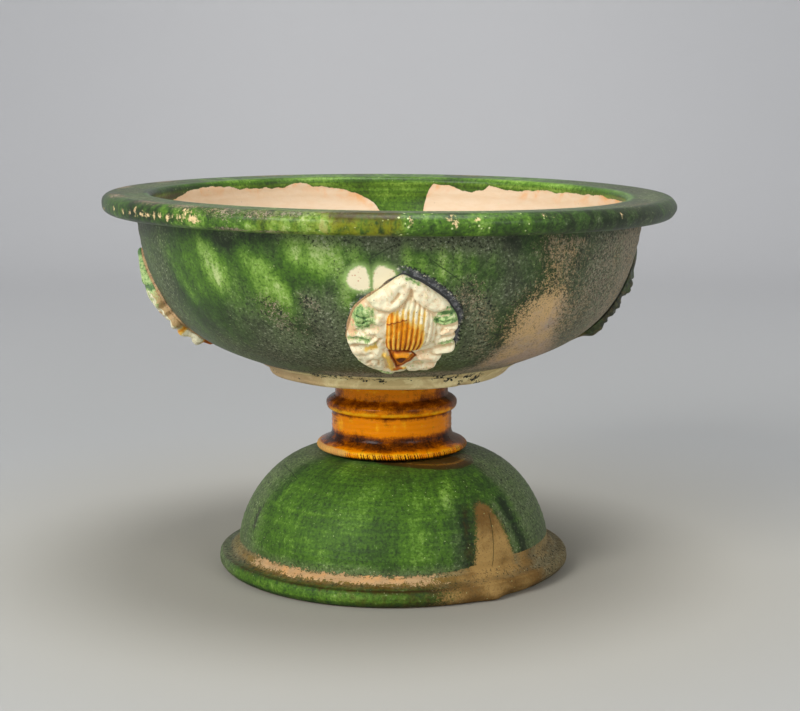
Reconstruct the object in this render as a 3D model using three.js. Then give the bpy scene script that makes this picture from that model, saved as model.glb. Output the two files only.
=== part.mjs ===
// A lead-glazed earthenware stem bowl: a wide bowl with a rolled rim and four
// pressed relief medallions, stuck with clay slip onto a turned stem, which is
// stuck onto a hollow domed foot. Millimetres, +Z up, standing on z = 0.
import * as THREE from "three";

// Joints between the fired pieces
const jointGap = 0.3; // clearance on each side of a layer of slip
const slipThickness = 0.6; // slip left between two turned pieces
const bedThickness = 1.2; // slip behind a medallion
const bedShare = 0.96; // outline of that slip against the medallion's

// How far right of the bowl's axis the lower pieces were stuck on
const footOffset = 1.8;
const stemOffset = 1;
const discOffset = 0.8;

// Domed foot
const domeHeight = 51.6; // table to the flat top that the stem stands on
const domeRadius = 69; // outside, just above the clay ring
const domeTopRadius = 30; // flat top
const domeWall = 6;
const clayRingHeight = 11.5; // where the dome wall starts above the ring
const clayRingWidth = 2.4; // how far the bare clay ring stands out from the dome
const clayRingEdge = 2; // drop of the ring's top from the dome to its outer edge
const channelWidth = 2.8; // shallow channel between clay ring and lip
const channelHeight = 6.9;
const footLipWidth = 3.5; // from the channel out to the widest point of the lip
const footLipHeight = 4.4; // height of that widest point
const footLipSlope = 50; // degrees, where the lip's round runs into the channel
const standWidth = 12.7; // from the widest point in to the inside edge of the flat
const standEdge = 1; // bevel inside that flat

// Stem
const stemHeight = 33.4;
const stemBore = 17; // radius of the hollow inside
const neckRadius = 26.6;
const upperNeckRadius = 25; // between the bead and the bowl disc
const flangeRadius = 33.4; // ledge at the bottom
const flangeEdge = 3; // thickness of its rounded edge
const flangeSlope = 70; // degrees, where that round runs into the top of the ledge
const flangeRise = 8; // height at which the ledge has run up into the neck
const beadRadius = 29; // bead near the top
const beadHeight = 6; // height of the bead itself
const beadBelowTop = 12.9; // middle of the bead below the top of the stem
const collarRadius = 25.8; // slight swelling right under the bowl disc
const collarHeight = 2.6;

// Disc under the bowl
const discTopRadius = 56;
const discBottomRadius = 52.6;
const discHeight = 5.6;
const discEdgeRound = 2.4;
const discTopEdge = 0.8; // upright band at the top of the disc's side

// Bowl
const bowlHeight = 72.4; // underside to the top of the rim
const bowlWall = 6;
const bowlFloor = 8; // thickness in the middle
const bowlBaseRadius = 59.8; // where the wall leaves the flat underside
const rimRadius = 125; // widest point of the rolled rim
const rimThickness = 8.8;
const rimOverhang = 14.6; // how far the rim stands out over the wall
const rimInset = 1; // how far the rim stands in over the inside of the wall
const rimInnerRound = 2.4;
const rimUnderSlope = -96; // degrees, where the roll leaves the underside
const rimTopSlope = 84; // degrees, where the roll runs into the top
const neckUnderRim = 0.6; // wall left straight under the rim

// Medallions
const medallionCount = 4;
const medallionTurn = 3.3; // degrees from the front to the first one
const medallionDrop = 41; // middle of a medallion below the rim, along the wall
const medallionHalfWidth = 22;
const medallionTop = 27.8; // from its middle up to its point
const medallionBottom = 25.6; // from its middle down to its round end
// Half its outline from the point round to the bottom, in shares of the sizes above
const medallionShape = [
  [0, 1],
  [0.42, 0.79],
  [0.84, 0.5],
  [1, 0.14],
  [0.9, -0.26],
  [0.64, -0.7],
  [0.3, -0.94],
  [0, -1],
];
const medallionEdge = 1.4; // thickness at the rounded edge
const lobeRelief = 2.6; // rise of the two leaf lobes over the edge
const fanRelief = 2.2; // rise of the ribbed fan
const budRelief = 3.4; // rise of the bud under the fan
const leafRelief = 1.7; // rise of the curled leaves at the sides
// Its raised forms: where each lies and how far it reaches, across and up, in
// shares of the half width and of medallionTop, with a mirrored one at the left
const medallionForms = [
  { at: [0, 0.14], reach: [0.55, 0.61], rise: fanRelief },
  { at: [0, -0.36], reach: [0.27, 0.2], rise: budRelief },
  { at: [0.36, 0.65], reach: [0.43, 0.27], rise: lobeRelief },
  { at: [0.73, 0.25], reach: [0.3, 0.22], rise: leafRelief },
  { at: [0.68, -0.25], reach: [0.36, 0.25], rise: leafRelief },
  { at: [0.36, -0.65], reach: [0.32, 0.2], rise: leafRelief },
];

// Steps round each turned piece
const bowlSteps = 56;
const footSteps = 52;
const stemSteps = 40;
const medallionSteps = 36;
const medallionRings = 8;
const bedRings = 3;
const bedSteps = 24;

// Heights of the joints, worked up from the table
const layer = slipThickness + 2 * jointGap;
const stemBottom = domeHeight + layer;
const stemTop = stemBottom + stemHeight;
const discBottom = stemTop + layer;
const discTop = discBottom + discHeight;
const bowlBottom = discTop + layer;
const rimTop = bowlBottom + bowlHeight;
const rimMiddle = rimTop - rimThickness / 2;
const wallTop = rimTop - rimThickness - neckUnderRim;

// Radii that follow from the widths above
const clayRingRadius = domeRadius + clayRingWidth;
const channelRadius = clayRingRadius + channelWidth;
const footLipRadius = channelRadius + footLipWidth;
const standRadius = footLipRadius - standWidth;
const wallTopRadius = rimRadius - rimOverhang;
const rimInnerRadius = wallTopRadius - bowlWall - rimInset;

const degrees = Math.PI / 180;

function point(radius, height) {
  return new THREE.Vector2(radius, height);
}

// Points of an arc in the section, from one angle to another.
function arc(centreRadius, centreHeight, round, from, to, steps) {
  const points = [];
  for (let i = 0; i <= steps; i++) {
    const angle = (from + ((to - from) * i) / steps) * degrees;
    points.push(
      point(
        centreRadius + round * Math.cos(angle),
        centreHeight + round * Math.sin(angle),
      ),
    );
  }
  return points;
}

function bezier(start, first, second, end, steps) {
  return new THREE.CubicBezierCurve(start, first, second, end).getPoints(steps);
}

// The same stretch of section moved square to itself, towards the axis.
function inset(points, distance) {
  return points.map((p, i) => {
    const before = points[Math.max(i - 1, 0)];
    const after = points[Math.min(i + 1, points.length - 1)];
    const along = after.clone().sub(before).normalize();
    return point(p.x - along.y * distance, p.y + along.x * distance);
  });
}

// A solid of revolution about Z from a section that runs up the outside.
function turned(section, steps) {
  const geometry = new THREE.LatheGeometry(section, steps);
  return geometry.rotateX(Math.PI / 2);
}

function glazed(name, geometry, colour, roughness, offset = 0) {
  const material = new THREE.MeshStandardMaterial({
    color: colour,
    roughness,
    metalness: 0,
  });
  const mesh = new THREE.Mesh(geometry, material);
  mesh.name = name;
  mesh.position.x = offset;
  return mesh;
}

// Outside of the dome, from the clay ring up to the flat top. It leaves the
// ring upright and reaches the top level, and the shares set how full it is.
const domeRise = domeHeight - clayRingHeight;
const domeOutside = bezier(
  point(domeRadius, clayRingHeight),
  point(domeRadius, clayRingHeight + 0.37 * domeRise),
  point(domeTopRadius + 0.63 * (domeRadius - domeTopRadius), domeHeight),
  point(domeTopRadius, domeHeight),
  11,
);

function footDome() {
  const underside = inset(domeOutside, domeWall)
    .filter((p) => p.x > stemBore + domeWall)
    .reverse();
  const lipRound = footLipHeight;
  const lipCentre = footLipRadius - lipRound;
  const lip = arc(lipCentre, footLipHeight, lipRound, -90, footLipSlope, 6);
  const ringTop = domeRadius + 0.3 * clayRingWidth;
  const section = [
    point(standRadius, 0),
    ...lip,
    point(channelRadius, channelHeight),
    point(clayRingRadius, clayRingHeight - clayRingEdge),
    point(ringTop, clayRingHeight - 0.3 * clayRingEdge),
    ...domeOutside,
    point(stemBore, domeHeight),
    point(stemBore, domeHeight - domeWall),
    ...underside,
    point(standRadius - 1.5 * standEdge, clayRingHeight / 2),
    point(standRadius - 0.8 * standEdge, standEdge),
    point(standRadius, 0),
  ];
  const geometry = turned(section, footSteps);
  return glazed("foot_dome", geometry, 0x3f7a28, 0.35, footOffset);
}

function stem() {
  const edge = flangeEdge / 2;
  const ledgeTop = stemBottom + flangeEdge;
  const ledgeRise = flangeRise - flangeEdge;
  const beadMiddle = stemTop - beadBelowTop;
  const bead = arc(0, 0, 1, -90, 90, 6).map((p) => {
    const foot = p.y < 0 ? neckRadius : upperNeckRadius;
    return point(
      foot + (beadRadius - foot) * p.x,
      beadMiddle + (beadHeight / 2) * p.y,
    );
  });
  const section = [
    point(stemBore, stemBottom),
    ...arc(flangeRadius - edge, stemBottom + edge, edge, -90, flangeSlope, 5),
    ...bezier(
      point(flangeRadius - flangeEdge, ledgeTop + 0.16 * ledgeRise),
      point(neckRadius + edge, ledgeTop + 0.4 * ledgeRise),
      point(neckRadius, ledgeTop + 0.6 * ledgeRise),
      point(neckRadius, ledgeTop + ledgeRise),
      3,
    ),
    ...bead,
    point(upperNeckRadius, stemTop - collarHeight - 1),
    point(collarRadius, stemTop - collarHeight),
    point(collarRadius, stemTop),
    point(stemBore, stemTop),
    point(stemBore, stemBottom),
  ];
  return glazed("stem", turned(section, stemSteps), 0xc07a18, 0.3, stemOffset);
}

function bowlDisc() {
  const section = [
    point(0, discBottom),
    ...arc(
      discBottomRadius - discEdgeRound,
      discBottom + discEdgeRound,
      discEdgeRound,
      -90,
      -10,
      4,
    ),
    point(discTopRadius, discTop - discTopEdge),
    point(discTopRadius, discTop),
    point(0, discTop),
  ];
  return glazed("bowl_disc", turned(section, footSteps), 0xb5a878, 0.6, discOffset);
}

// A ring or a disc of slip on top of a turned piece.
function slipLayer(name, innerRadius, outerRadius, below, offset) {
  const bottom = below + jointGap;
  const top = bottom + slipThickness;
  const section = [
    point(innerRadius, bottom),
    point(outerRadius, bottom),
    point(outerRadius, top),
    point(innerRadius, top),
  ];
  if (innerRadius > 0) section.push(section[0]);
  return glazed(name, turned(section, stemSteps), 0xd9b48a, 0.9, offset);
}

// Outside of the bowl wall, from the rim down to the flat underside. It drops
// steeply under the rim and then sweeps in, as far as the shares say.
const wallSpread = wallTopRadius - bowlBaseRadius;
const wallHeight = wallTop - bowlBottom;
const wallOutside = new THREE.CubicBezierCurve(
  point(wallTopRadius, wallTop),
  point(wallTopRadius - 0.11 * wallSpread, wallTop - 0.754 * wallHeight),
  point(bowlBaseRadius + 0.417 * wallSpread, bowlBottom + 0.127 * wallHeight),
  point(bowlBaseRadius, bowlBottom),
);

function bowl() {
  const wallUp = wallOutside.getPoints(12).reverse();
  const rimRound = rimThickness / 2;
  const rimRoll = rimRadius - rimRound;
  const inside = inset(wallUp, bowlWall)
    .filter((p) => p.y > bowlBottom + bowlFloor + 0.5)
    .reverse();
  const section = [
    point(0, bowlBottom),
    ...wallUp,
    point(wallTopRadius + 2 * neckUnderRim, wallTop + 0.8 * neckUnderRim),
    ...arc(rimRoll, rimMiddle, rimRound, rimUnderSlope, rimTopSlope, 7),
    point((rimRadius + rimInnerRadius) / 2, rimTop),
    ...arc(
      rimInnerRadius + rimInnerRound,
      rimTop - 0.2 - rimInnerRound,
      rimInnerRound,
      90,
      180,
      3,
    ),
    ...inside,
    point(bowlBaseRadius - bowlWall, bowlBottom + bowlFloor),
    point(0, bowlBottom + bowlFloor),
  ];
  return glazed("bowl", turned(section, bowlSteps), 0x3c6a2c, 0.4);
}

// A place on the bowl wall, turned out from it: across and up are measured on
// the wall from the middle of a medallion, and proud is the distance off it.
const wallLength = wallOutside.getLength();

function onWall(across, up, proud, turn) {
  const share = (medallionDrop - up) / wallLength;
  const place = wallOutside.getPointAt(share);
  const down = wallOutside.getTangentAt(share);
  const radius = place.x - down.y * proud;
  const height = place.y + down.x * proud;
  const angle = turn + across / place.x;
  return [radius * Math.sin(angle), -radius * Math.cos(angle), height];
}

// A smooth hill, 1 in the middle and 0 from its edge outwards.
function hill(distance) {
  const inside = Math.max(0, 1 - distance * distance);
  return inside * inside;
}

// Height of the relief over the medallion's edge.
function relief(across, up) {
  const side = Math.abs(across) / medallionHalfWidth;
  const height = up / medallionTop;
  const heights = medallionForms.map(({ at, reach, rise }) => {
    const distance = Math.hypot((side - at[0]) / reach[0], (height - at[1]) / reach[1]);
    return rise * hill(distance);
  });
  return Math.max(...heights);
}

// Outline of a medallion: a pointed shield with a round lower end.
function medallionOutline(steps) {
  const half = medallionShape.map(([across, up]) => {
    const reach = up > 0 ? medallionTop : medallionBottom;
    return new THREE.Vector3(across * medallionHalfWidth, up * reach, 0);
  });
  const mirrored = half
    .slice(1, -1)
    .reverse()
    .map((p) => new THREE.Vector3(-p.x, p.y, 0));
  const curve = new THREE.CatmullRomCurve3([...half, ...mirrored], true);
  const points = curve.getSpacedPoints(steps);
  points.pop();
  return points.reverse();
}

// A closed shell laid on the wall, inside an outline round one middle point.
// Its back is flat on the wall at one height, and rise(across, up) is added to
// that for its front.
function wallPiece(turn, edge, rings, back, rise) {
  const steps = edge.length;
  const positions = [];
  const index = [];
  const place = (across, up, proud) => {
    positions.push(...onWall(across, up, proud, turn));
    return positions.length / 3 - 1;
  };
  const ring = (share, height) => {
    const first = positions.length / 3;
    edge.forEach((p) => {
      const across = p.x * share;
      const up = p.y * share;
      place(across, up, height(across, up));
    });
    return first;
  };
  const join = (from, to) => {
    for (let i = 0; i < steps; i++) {
      const next = (i + 1) % steps;
      index.push(from + i, to + i, to + next);
      index.push(from + i, to + next, from + next);
    }
  };
  const front = (across, up) => back + rise(across, up);
  const rear = () => back;

  const frontMiddle = place(0, 0, front(0, 0));
  const first = positions.length / 3;
  for (let k = 1; k <= rings; k++) ring(k / rings, front);
  for (let k = bedRings; k >= 1; k--) ring(k / bedRings, rear);
  const rearMiddle = place(0, 0, back);
  const last = rearMiddle - steps;
  for (let from = first; from < last; from += steps) join(from, from + steps);
  for (let i = 0; i < steps; i++) {
    const next = (i + 1) % steps;
    index.push(frontMiddle, first + i, first + next);
    index.push(rearMiddle, last + next, last + i);
  }

  const geometry = new THREE.BufferGeometry();
  geometry.setAttribute("position", new THREE.Float32BufferAttribute(positions, 3));
  geometry.setIndex(index);
  geometry.computeVertexNormals();
  return geometry;
}

function medallion(side, turn) {
  const clayBack = jointGap + bedThickness + jointGap;
  const face = (across, up) => medallionEdge + relief(across, up);
  const flat = () => bedThickness;
  const edge = medallionOutline(medallionSteps);
  const bedEdge = medallionOutline(bedSteps).map((p) => p.multiplyScalar(bedShare));
  const clay = wallPiece(turn, edge, medallionRings, clayBack, face);
  const bed = wallPiece(turn, bedEdge, bedRings, jointGap, flat);
  return [
    glazed("medallion_" + side, clay, 0xd8c9a0, 0.45),
    glazed("slip_medallion_" + side, bed, 0xd9b48a, 0.9),
  ];
}

const stemBowl = new THREE.Group();
stemBowl.name = "stem_bowl";
stemBowl.add(
  footDome(),
  slipLayer("slip_stem_to_foot", stemBore, neckRadius, domeHeight, stemOffset),
  stem(),
  slipLayer("slip_disc_to_stem", stemBore, upperNeckRadius, stemTop, stemOffset),
  bowlDisc(),
  slipLayer("slip_bowl_to_disc", 0, discTopRadius - 1, discTop, discOffset),
  bowl(),
);
const sides = ["front", "right", "back", "left"];
for (let i = 0; i < medallionCount; i++) {
  const turn = (medallionTurn + (360 / medallionCount) * i) * degrees;
  stemBowl.add(...medallion(sides[i], turn));
}

export default stemBowl;
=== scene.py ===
import math

import bpy
import numpy as np
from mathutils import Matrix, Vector


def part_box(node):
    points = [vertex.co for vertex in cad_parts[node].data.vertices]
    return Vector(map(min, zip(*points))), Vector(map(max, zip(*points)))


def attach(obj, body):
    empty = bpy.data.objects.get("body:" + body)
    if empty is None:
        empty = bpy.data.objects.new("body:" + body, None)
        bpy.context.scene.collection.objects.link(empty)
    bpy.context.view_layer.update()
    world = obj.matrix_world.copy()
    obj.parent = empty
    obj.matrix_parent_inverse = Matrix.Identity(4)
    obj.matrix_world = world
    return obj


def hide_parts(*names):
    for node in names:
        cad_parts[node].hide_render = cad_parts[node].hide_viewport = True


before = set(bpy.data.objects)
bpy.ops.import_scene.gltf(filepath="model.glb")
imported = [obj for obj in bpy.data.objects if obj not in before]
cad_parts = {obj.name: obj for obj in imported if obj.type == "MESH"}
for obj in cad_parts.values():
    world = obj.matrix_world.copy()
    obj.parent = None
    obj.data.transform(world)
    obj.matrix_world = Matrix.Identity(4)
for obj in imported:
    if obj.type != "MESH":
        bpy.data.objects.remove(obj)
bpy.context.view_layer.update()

# The bowl. Thrown in one from pale buff clay, with its rim rolled outwards, then dipped
# in green lead glaze that ran down the wall in streaks as it melted. The glaze stops
# short inside, has flaked off in chips on the rim, and is worn to the clay at the right.
MM = 0.001


def straight(start, end, steps):
    """A straight stretch of a section, without its end point."""
    share = np.linspace(0, 1, steps, endpoint=False)[:, None]
    return (1 - share) * np.array(start, float) + share * np.array(end, float)


def sweep(start, first, second, end, steps):
    """A curved stretch of a section, pulled by two points, without its end point."""
    t = np.linspace(0, 1, steps, endpoint=False)[:, None]
    start, first, second, end = (np.array(p, float) for p in (start, first, second, end))
    near = (1 - t) ** 3 * start + 3 * (1 - t) ** 2 * t * first
    return near + 3 * (1 - t) * t**2 * second + t**3 * end


def roll(centre, radius, begin, finish, steps):
    """A round stretch of a section, between two angles, without its end point."""
    angle = np.radians(np.linspace(begin, finish, steps, endpoint=False))
    return np.array(centre) + radius * np.column_stack([np.cos(angle), np.sin(angle)])


def inward(stretch, distance):
    """The same stretch moved square to itself, to the left of the way it runs."""
    way = np.gradient(stretch, axis=0)
    way /= np.hypot(way[:, 0], way[:, 1])[:, None]
    return stretch + distance * np.column_stack([-way[:, 1], way[:, 0]])


def new_shape(name, points, faces):
    """A smooth mesh in the scene, from points in millimetres."""
    mesh = bpy.data.meshes.new(name)
    mesh.from_pydata((points * MM).tolist(), [], faces)
    mesh.shade_smooth()
    shape = bpy.data.objects.new(name, mesh)
    bpy.context.scene.collection.objects.link(shape)
    return shape


def new_piece(name, points, faces, node):
    """A smooth mesh that takes the place of a CAD node."""
    piece = new_shape(name, points, faces)
    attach(piece, "root")
    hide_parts(node)
    return piece


def paint(piece, **amounts):
    """Stores a number for each point of a piece, under each name that its material reads."""
    for name, amount in amounts.items():
        layer = piece.data.attributes.new(name, "FLOAT", "POINT")
        layer.data.foreach_set("value", np.asarray(amount, np.float32))


def skin(ring, start=None, end=None):
    """Faces that join rings of point numbers, and run to a middle point at either end."""
    beside = np.roll(ring, -1, axis=1)
    faces = np.stack([ring[:-1], beside[:-1], beside[1:], ring[1:]], -1).reshape(-1, 4).tolist()
    if start is not None:
        faces += [[start, b, a] for a, b in zip(ring[0], beside[0])]
    if end is not None:
        faces += [[end, a, b] for a, b in zip(ring[-1], beside[-1])]
    return faces


class Turned:
    """A piece turned on the wheel from a section of (radius, height) points.

    turn is each point's angle in degrees from the front towards the right, and along is
    its distance in millimetres along the section from where the section starts. A section
    that starts or ends on the axis is closed there by one middle point.
    """

    def __init__(self, section, steps, centre=0.0):
        self.section = section
        self.steps = steps
        self.centre = centre
        lengths = np.hypot(*np.diff(section, axis=0).T)
        self.section_along = np.concatenate([[0], np.cumsum(lengths)])
        self.on_axis = section[:, 0] == 0
        self.rings = np.count_nonzero(~self.on_axis)
        turn = np.arange(steps) * 360 / steps
        turn = np.where(turn > 180, turn - 360, turn)
        middles = np.zeros(np.count_nonzero(self.on_axis))
        self.turn = np.append(np.tile(turn, self.rings), middles)
        self.along = self.all_round(self.section_along)
        self.radius = self.all_round(section[:, 0])
        self.height = self.all_round(section[:, 1])

    def all_round(self, values):
        """Values of the section's points, given to every point of their rings."""
        return np.append(np.repeat(values[~self.on_axis], self.steps), values[self.on_axis])

    def along_at(self, place):
        """How far along the section the point nearest to a place lies."""
        gap = np.hypot(*(self.section - place).T)
        return self.section_along[np.argmin(gap)]

    def faces(self):
        ring = np.arange(self.rings * self.steps).reshape(self.rings, self.steps)
        if not self.on_axis.any():
            return skin(np.vstack([ring, ring[:1]]))
        return skin(ring, ring.size, ring.size + 1 if self.on_axis[-1] else None)

    def points(self):
        angle = np.radians(self.turn)
        x = self.centre + self.radius * np.sin(angle)
        return np.column_stack([x, -self.radius * np.cos(angle), self.height])

    def piece(self, name, slot, node):
        piece = new_piece(name, self.points(), self.faces(), node)
        angle = np.radians(self.turn)
        round_way = np.column_stack([np.sin(angle), np.cos(angle)]) * self.radius.max()
        flow = np.column_stack([round_way, self.along]) * MM
        layer = piece.data.attributes.new("flow", "FLOAT_VECTOR", "POINT")
        layer.data.foreach_set("vector", flow.astype(np.float32).ravel())
        return piece

    def measure(self, level, degree=1.0):
        """Sets each point's level on the piece, and how many millimetres a degree spans."""
        self.level = level
        self.degree = degree

    def laid_out(self, path):
        """A path of (angle, level) points, with its angles turned into millimetres."""
        return [(angle * self.degree, level) for angle, level in path]

    def streak(self, path, width):
        """1 along a path of (angle, level) points, fading out over its width."""
        distance, _, _ = to_path(self.turn * self.degree, self.level, self.laid_out(path))
        return swell(distance, 0, width)

    def streaks(self, rows):
        """The sum of streaks given as (path, width, strength)."""
        return sum(strength * self.streak(path, width) for path, width, strength in rows)

    def inside(self, outline):
        """Distance in from a closed outline of (angle, level) points, under 0 outside it."""
        return inside(self.turn * self.degree, self.level, self.laid_out(outline))

    def oval(self, angle, level, wide, tall):
        """Distance from a place, in shares of an oval's half width and half height."""
        return np.hypot((self.turn - angle) / wide, (self.level - level) / tall)


def fade(value, low, high):
    """0 below low, 1 above high and smooth between."""
    share = np.clip((value - low) / (high - low), 0, 1)
    return share * share * (3 - 2 * share)


def span(value, low, full, still, gone):
    """0 up to low, 1 from full on, still 1 at still, and 0 again from gone on."""
    return fade(value, low, full) * fade(value, gone, still)


def swell(value, middle, width):
    """1 at the middle, dying away over a width to both sides."""
    return np.exp(-(((value - middle) / width) ** 2))


def waves(turn, along, seed, rounds, pitch, count=14):
    """A wandering value, mostly between -1 and 1, that closes on itself all round."""
    draw = np.random.default_rng(seed)
    value = np.zeros_like(turn)
    for _ in range(count):
        times = draw.integers(rounds[0], rounds[1] + 1)
        tilt = draw.uniform(-1, 1) * 2 * math.pi / pitch
        value += np.cos(np.radians(turn) * times + along * tilt + draw.uniform(0, 6.28))
    return value / math.sqrt(count)


def to_path(across, up, path):
    """Distance to a path, the side of it, and how far along it (0 to 1)."""
    path = np.array(path, float)
    best = np.full(across.shape, 1e9)
    side = np.zeros(across.shape)
    share = np.zeros(across.shape)
    last = len(path) - 1
    for i, (a, b) in enumerate(zip(path[:-1], path[1:])):
        way = b - a
        length = way @ way
        t = np.clip(((across - a[0]) * way[0] + (up - a[1]) * way[1]) / length, 0, 1)
        dx = across - a[0] - t * way[0]
        dy = up - a[1] - t * way[1]
        distance = np.hypot(dx, dy)
        nearer = distance < best
        best = np.where(nearer, distance, best)
        side = np.where(nearer, np.sign(way[0] * dy - way[1] * dx), side)
        share = np.where(nearer, (i + t) / last, share)
    return best, side, share


def inside(across, up, outline):
    """Distance in from a closed outline, and less than 0 outside it."""
    outline = np.array(outline, float)
    best, _, _ = to_path(across, up, np.vstack([outline, outline[:1]]))
    crossings = np.zeros(across.shape, int)
    for a, b in zip(outline, np.roll(outline, -1, axis=0)):
        spans = (a[1] > up) != (b[1] > up)
        rise = b[1] - a[1] if b[1] != a[1] else 1e-9
        crossings += spans & (across < a[0] + (up - a[1]) / rise * (b[0] - a[0]))
    return np.where(crossings % 2 == 1, best, -best)


def rounded(outline, count):
    """A closed outline through the given points, at even spaces."""
    p = np.array(outline, float)
    before, after, beyond = np.roll(p, 1, 0), np.roll(p, -1, 0), np.roll(p, -2, 0)
    t = np.linspace(0, 1, 24, endpoint=False)[:, None, None]
    a = 2 * p
    b = after - before
    c = 2 * before - 5 * p + 4 * after - beyond
    d = 3 * p - before - 3 * after + beyond
    curve = 0.5 * (a + b * t + c * t**2 + d * t**3)
    curve = curve.transpose(1, 0, 2).reshape(-1, 2)
    closed = np.vstack([curve, curve[:1]])
    far = np.concatenate([[0], np.cumsum(np.hypot(*np.diff(closed, axis=0).T))])
    even = np.linspace(0, far[-1], count, endpoint=False)
    return np.column_stack([np.interp(even, far, closed[:, k]) for k in (0, 1)])


# Colours are written as 0 to 255 on the screen.
def tone(red, green, blue):
    share = np.array([red, green, blue]) / 255
    linear = np.where(share <= 0.04045, share / 12.92, ((share + 0.055) / 1.055) ** 2.4)
    return (*linear.tolist(), 1.0)


class Finish:
    """A material, built up from its first coat in short calls."""

    def __init__(self, name, shine=0.5):
        self.material = bpy.data.materials.new(name)
        self.material.use_nodes = True
        self.tree = self.material.node_tree
        self.tree.nodes.clear()
        glass_refraction = 1.5
        self.surface = self.node(
            "BsdfPrincipled", {"IOR": glass_refraction, "Specular IOR Level": shine}
        )
        self.node("OutputMaterial", {"Surface": self.surface.outputs[0]})
        self.place = self.node("TexCoord", {}).outputs["Object"]
        self.bumps = None

    def node(self, kind, inputs, **settings):
        """A node of a kind, with its settings, and its inputs filled or linked."""
        node = self.tree.nodes.new("ShaderNode" + kind)
        for name, value in settings.items():
            setattr(node, name, value)
        for socket, value in inputs.items():
            self.give(node.inputs[socket], value)
        return node

    def give(self, socket, value):
        if isinstance(value, bpy.types.NodeSocket):
            self.tree.links.new(value, socket)
        else:
            socket.default_value = value

    def painted(self, name):
        return self.node("Attribute", {}, attribute_name=name).outputs["Fac"]

    def flow(self, stretch):
        """Places that are drawn out down the piece, for streaks that ran."""
        ran = self.node("Attribute", {}, attribute_name="flow").outputs["Vector"]
        drawn_out = self.node("VectorMath", {0: ran, 1: (1, 1, 1 / stretch)}, operation="MULTIPLY")
        return drawn_out.outputs[0]

    def grain(self, size, detail, rough, where=None, twist=0.0):
        """Cloudy noise about 0.5, with blotches of a size in millimetres."""
        inputs = {
            "Vector": where or self.place,
            "Scale": 1 / (size * MM),
            "Detail": detail,
            "Roughness": rough,
            "Distortion": twist,
        }
        return self.node("TexNoise", inputs).outputs["Fac"]

    def spots(self, size):
        """Distance from the middles of scattered spots, in shares of their spacing."""
        inputs = {"Vector": self.place, "Scale": 1 / (size * MM)}
        return self.node("TexVoronoi", inputs).outputs["Distance"]

    def math(self, kind, first, second=0.0):
        return self.node("Math", {0: first, 1: second}, operation=kind).outputs[0]

    def add(self, *values):
        total = values[0]
        for value in values[1:]:
            total = self.math("ADD", total, value)
        return total

    def times(self, *values):
        total = values[0]
        for value in values[1:]:
            total = self.math("MULTIPLY", total, value)
        return total

    def rest(self, value):
        """What is left of 1."""
        return self.math("SUBTRACT", 1.0, value)

    def sway(self, value, amount):
        """A noise value centred on 0 and stretched to an amount."""
        return self.times(self.math("SUBTRACT", value, 0.5), amount)

    def ragged(self, name, *noises):
        """A painted amount, broken up by noises given as (noise, amount)."""
        return self.add(self.painted(name), *[self.sway(noise, amount) for noise, amount in noises])

    def step(self, value, low, high):
        """0 at low and 1 at high, smooth between, and low may be the higher one."""
        inputs = {
            "Value": value,
            "From Min": min(low, high),
            "From Max": max(low, high),
            "To Min": 1.0 if low > high else 0.0,
            "To Max": 0.0 if low > high else 1.0,
        }
        return self.node("MapRange", inputs, interpolation_type="SMOOTHSTEP").outputs["Result"]

    def shades(self, value, stops):
        """A colour for a value, from stops of (value, colour)."""
        node = self.node("ValToRGB", {"Fac": value})
        ramp = node.color_ramp
        while len(ramp.elements) < len(stops):
            ramp.elements.new(0.5)
        for element, (place, colour) in zip(ramp.elements, stops):
            element.position = place
            element.color = colour
        return node.outputs["Color"]

    def over(self, under, coat, amount):
        """A coat of colour laid over another, by an amount from 0 to 1."""
        return self.node("Mix", {"Factor": amount, 6: under, 7: coat}, data_type="RGBA").outputs[2]

    def between(self, low, high, amount):
        """A number that goes from low to high by an amount from 0 to 1."""
        return self.node("Mix", {"Factor": amount, 2: low, 3: high}).outputs[0]

    def bump(self, height, depth):
        """Fine relief, from a height of 0 to 1 that stands for a depth in millimetres."""
        node = self.node("Bump", {"Distance": depth * MM, "Height": height})
        if self.bumps:
            self.give(node.inputs["Normal"], self.bumps)
        self.bumps = node.outputs["Normal"]

    def done(self, colour, roughness):
        self.give(self.surface.inputs["Base Color"], colour)
        self.give(self.surface.inputs["Roughness"], roughness)
        if self.bumps:
            self.give(self.surface.inputs["Normal"], self.bumps)
        return self.material


bowl_low, bowl_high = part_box("bowl")
underside = bowl_low.z / MM
rim_top = bowl_high.z / MM
rim_radius = 125.0
rim_round = 4.4
wall_top_radius = 110.4
wall_top = rim_top - 2 * rim_round - 0.6
base_radius = 59.8
wall_thick = 6.0
floor_thick = 8.0
inner_edge = 103.4
inner_round = 2.4
mouth_height = rim_top - 0.4
inner_corner = (inner_edge, mouth_height - inner_round)
floor_height = underside + floor_thick
spread = wall_top_radius - base_radius
wall_drop = wall_top - underside
roll_middle = (rim_radius - rim_round, rim_top - rim_round)
full_wall = sweep(
    (base_radius, underside),
    (base_radius + 0.417 * spread, underside + 0.127 * wall_drop),
    (wall_top_radius - 0.11 * spread, wall_top - 0.754 * wall_drop),
    (wall_top_radius, wall_top),
    84,
)
under_rim = sweep(
    (wall_top_radius, wall_top),
    (wall_top_radius + 0.1, wall_top + 0.7),
    (wall_top_radius + 3, roll_middle[1] - rim_round),
    (roll_middle[0], roll_middle[1] - rim_round),
    8,
)
inner_wall = inward(full_wall, wall_thick)
inner_wall = inner_wall[inner_wall[:, 1] > floor_height + 1.5][::-1]
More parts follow.
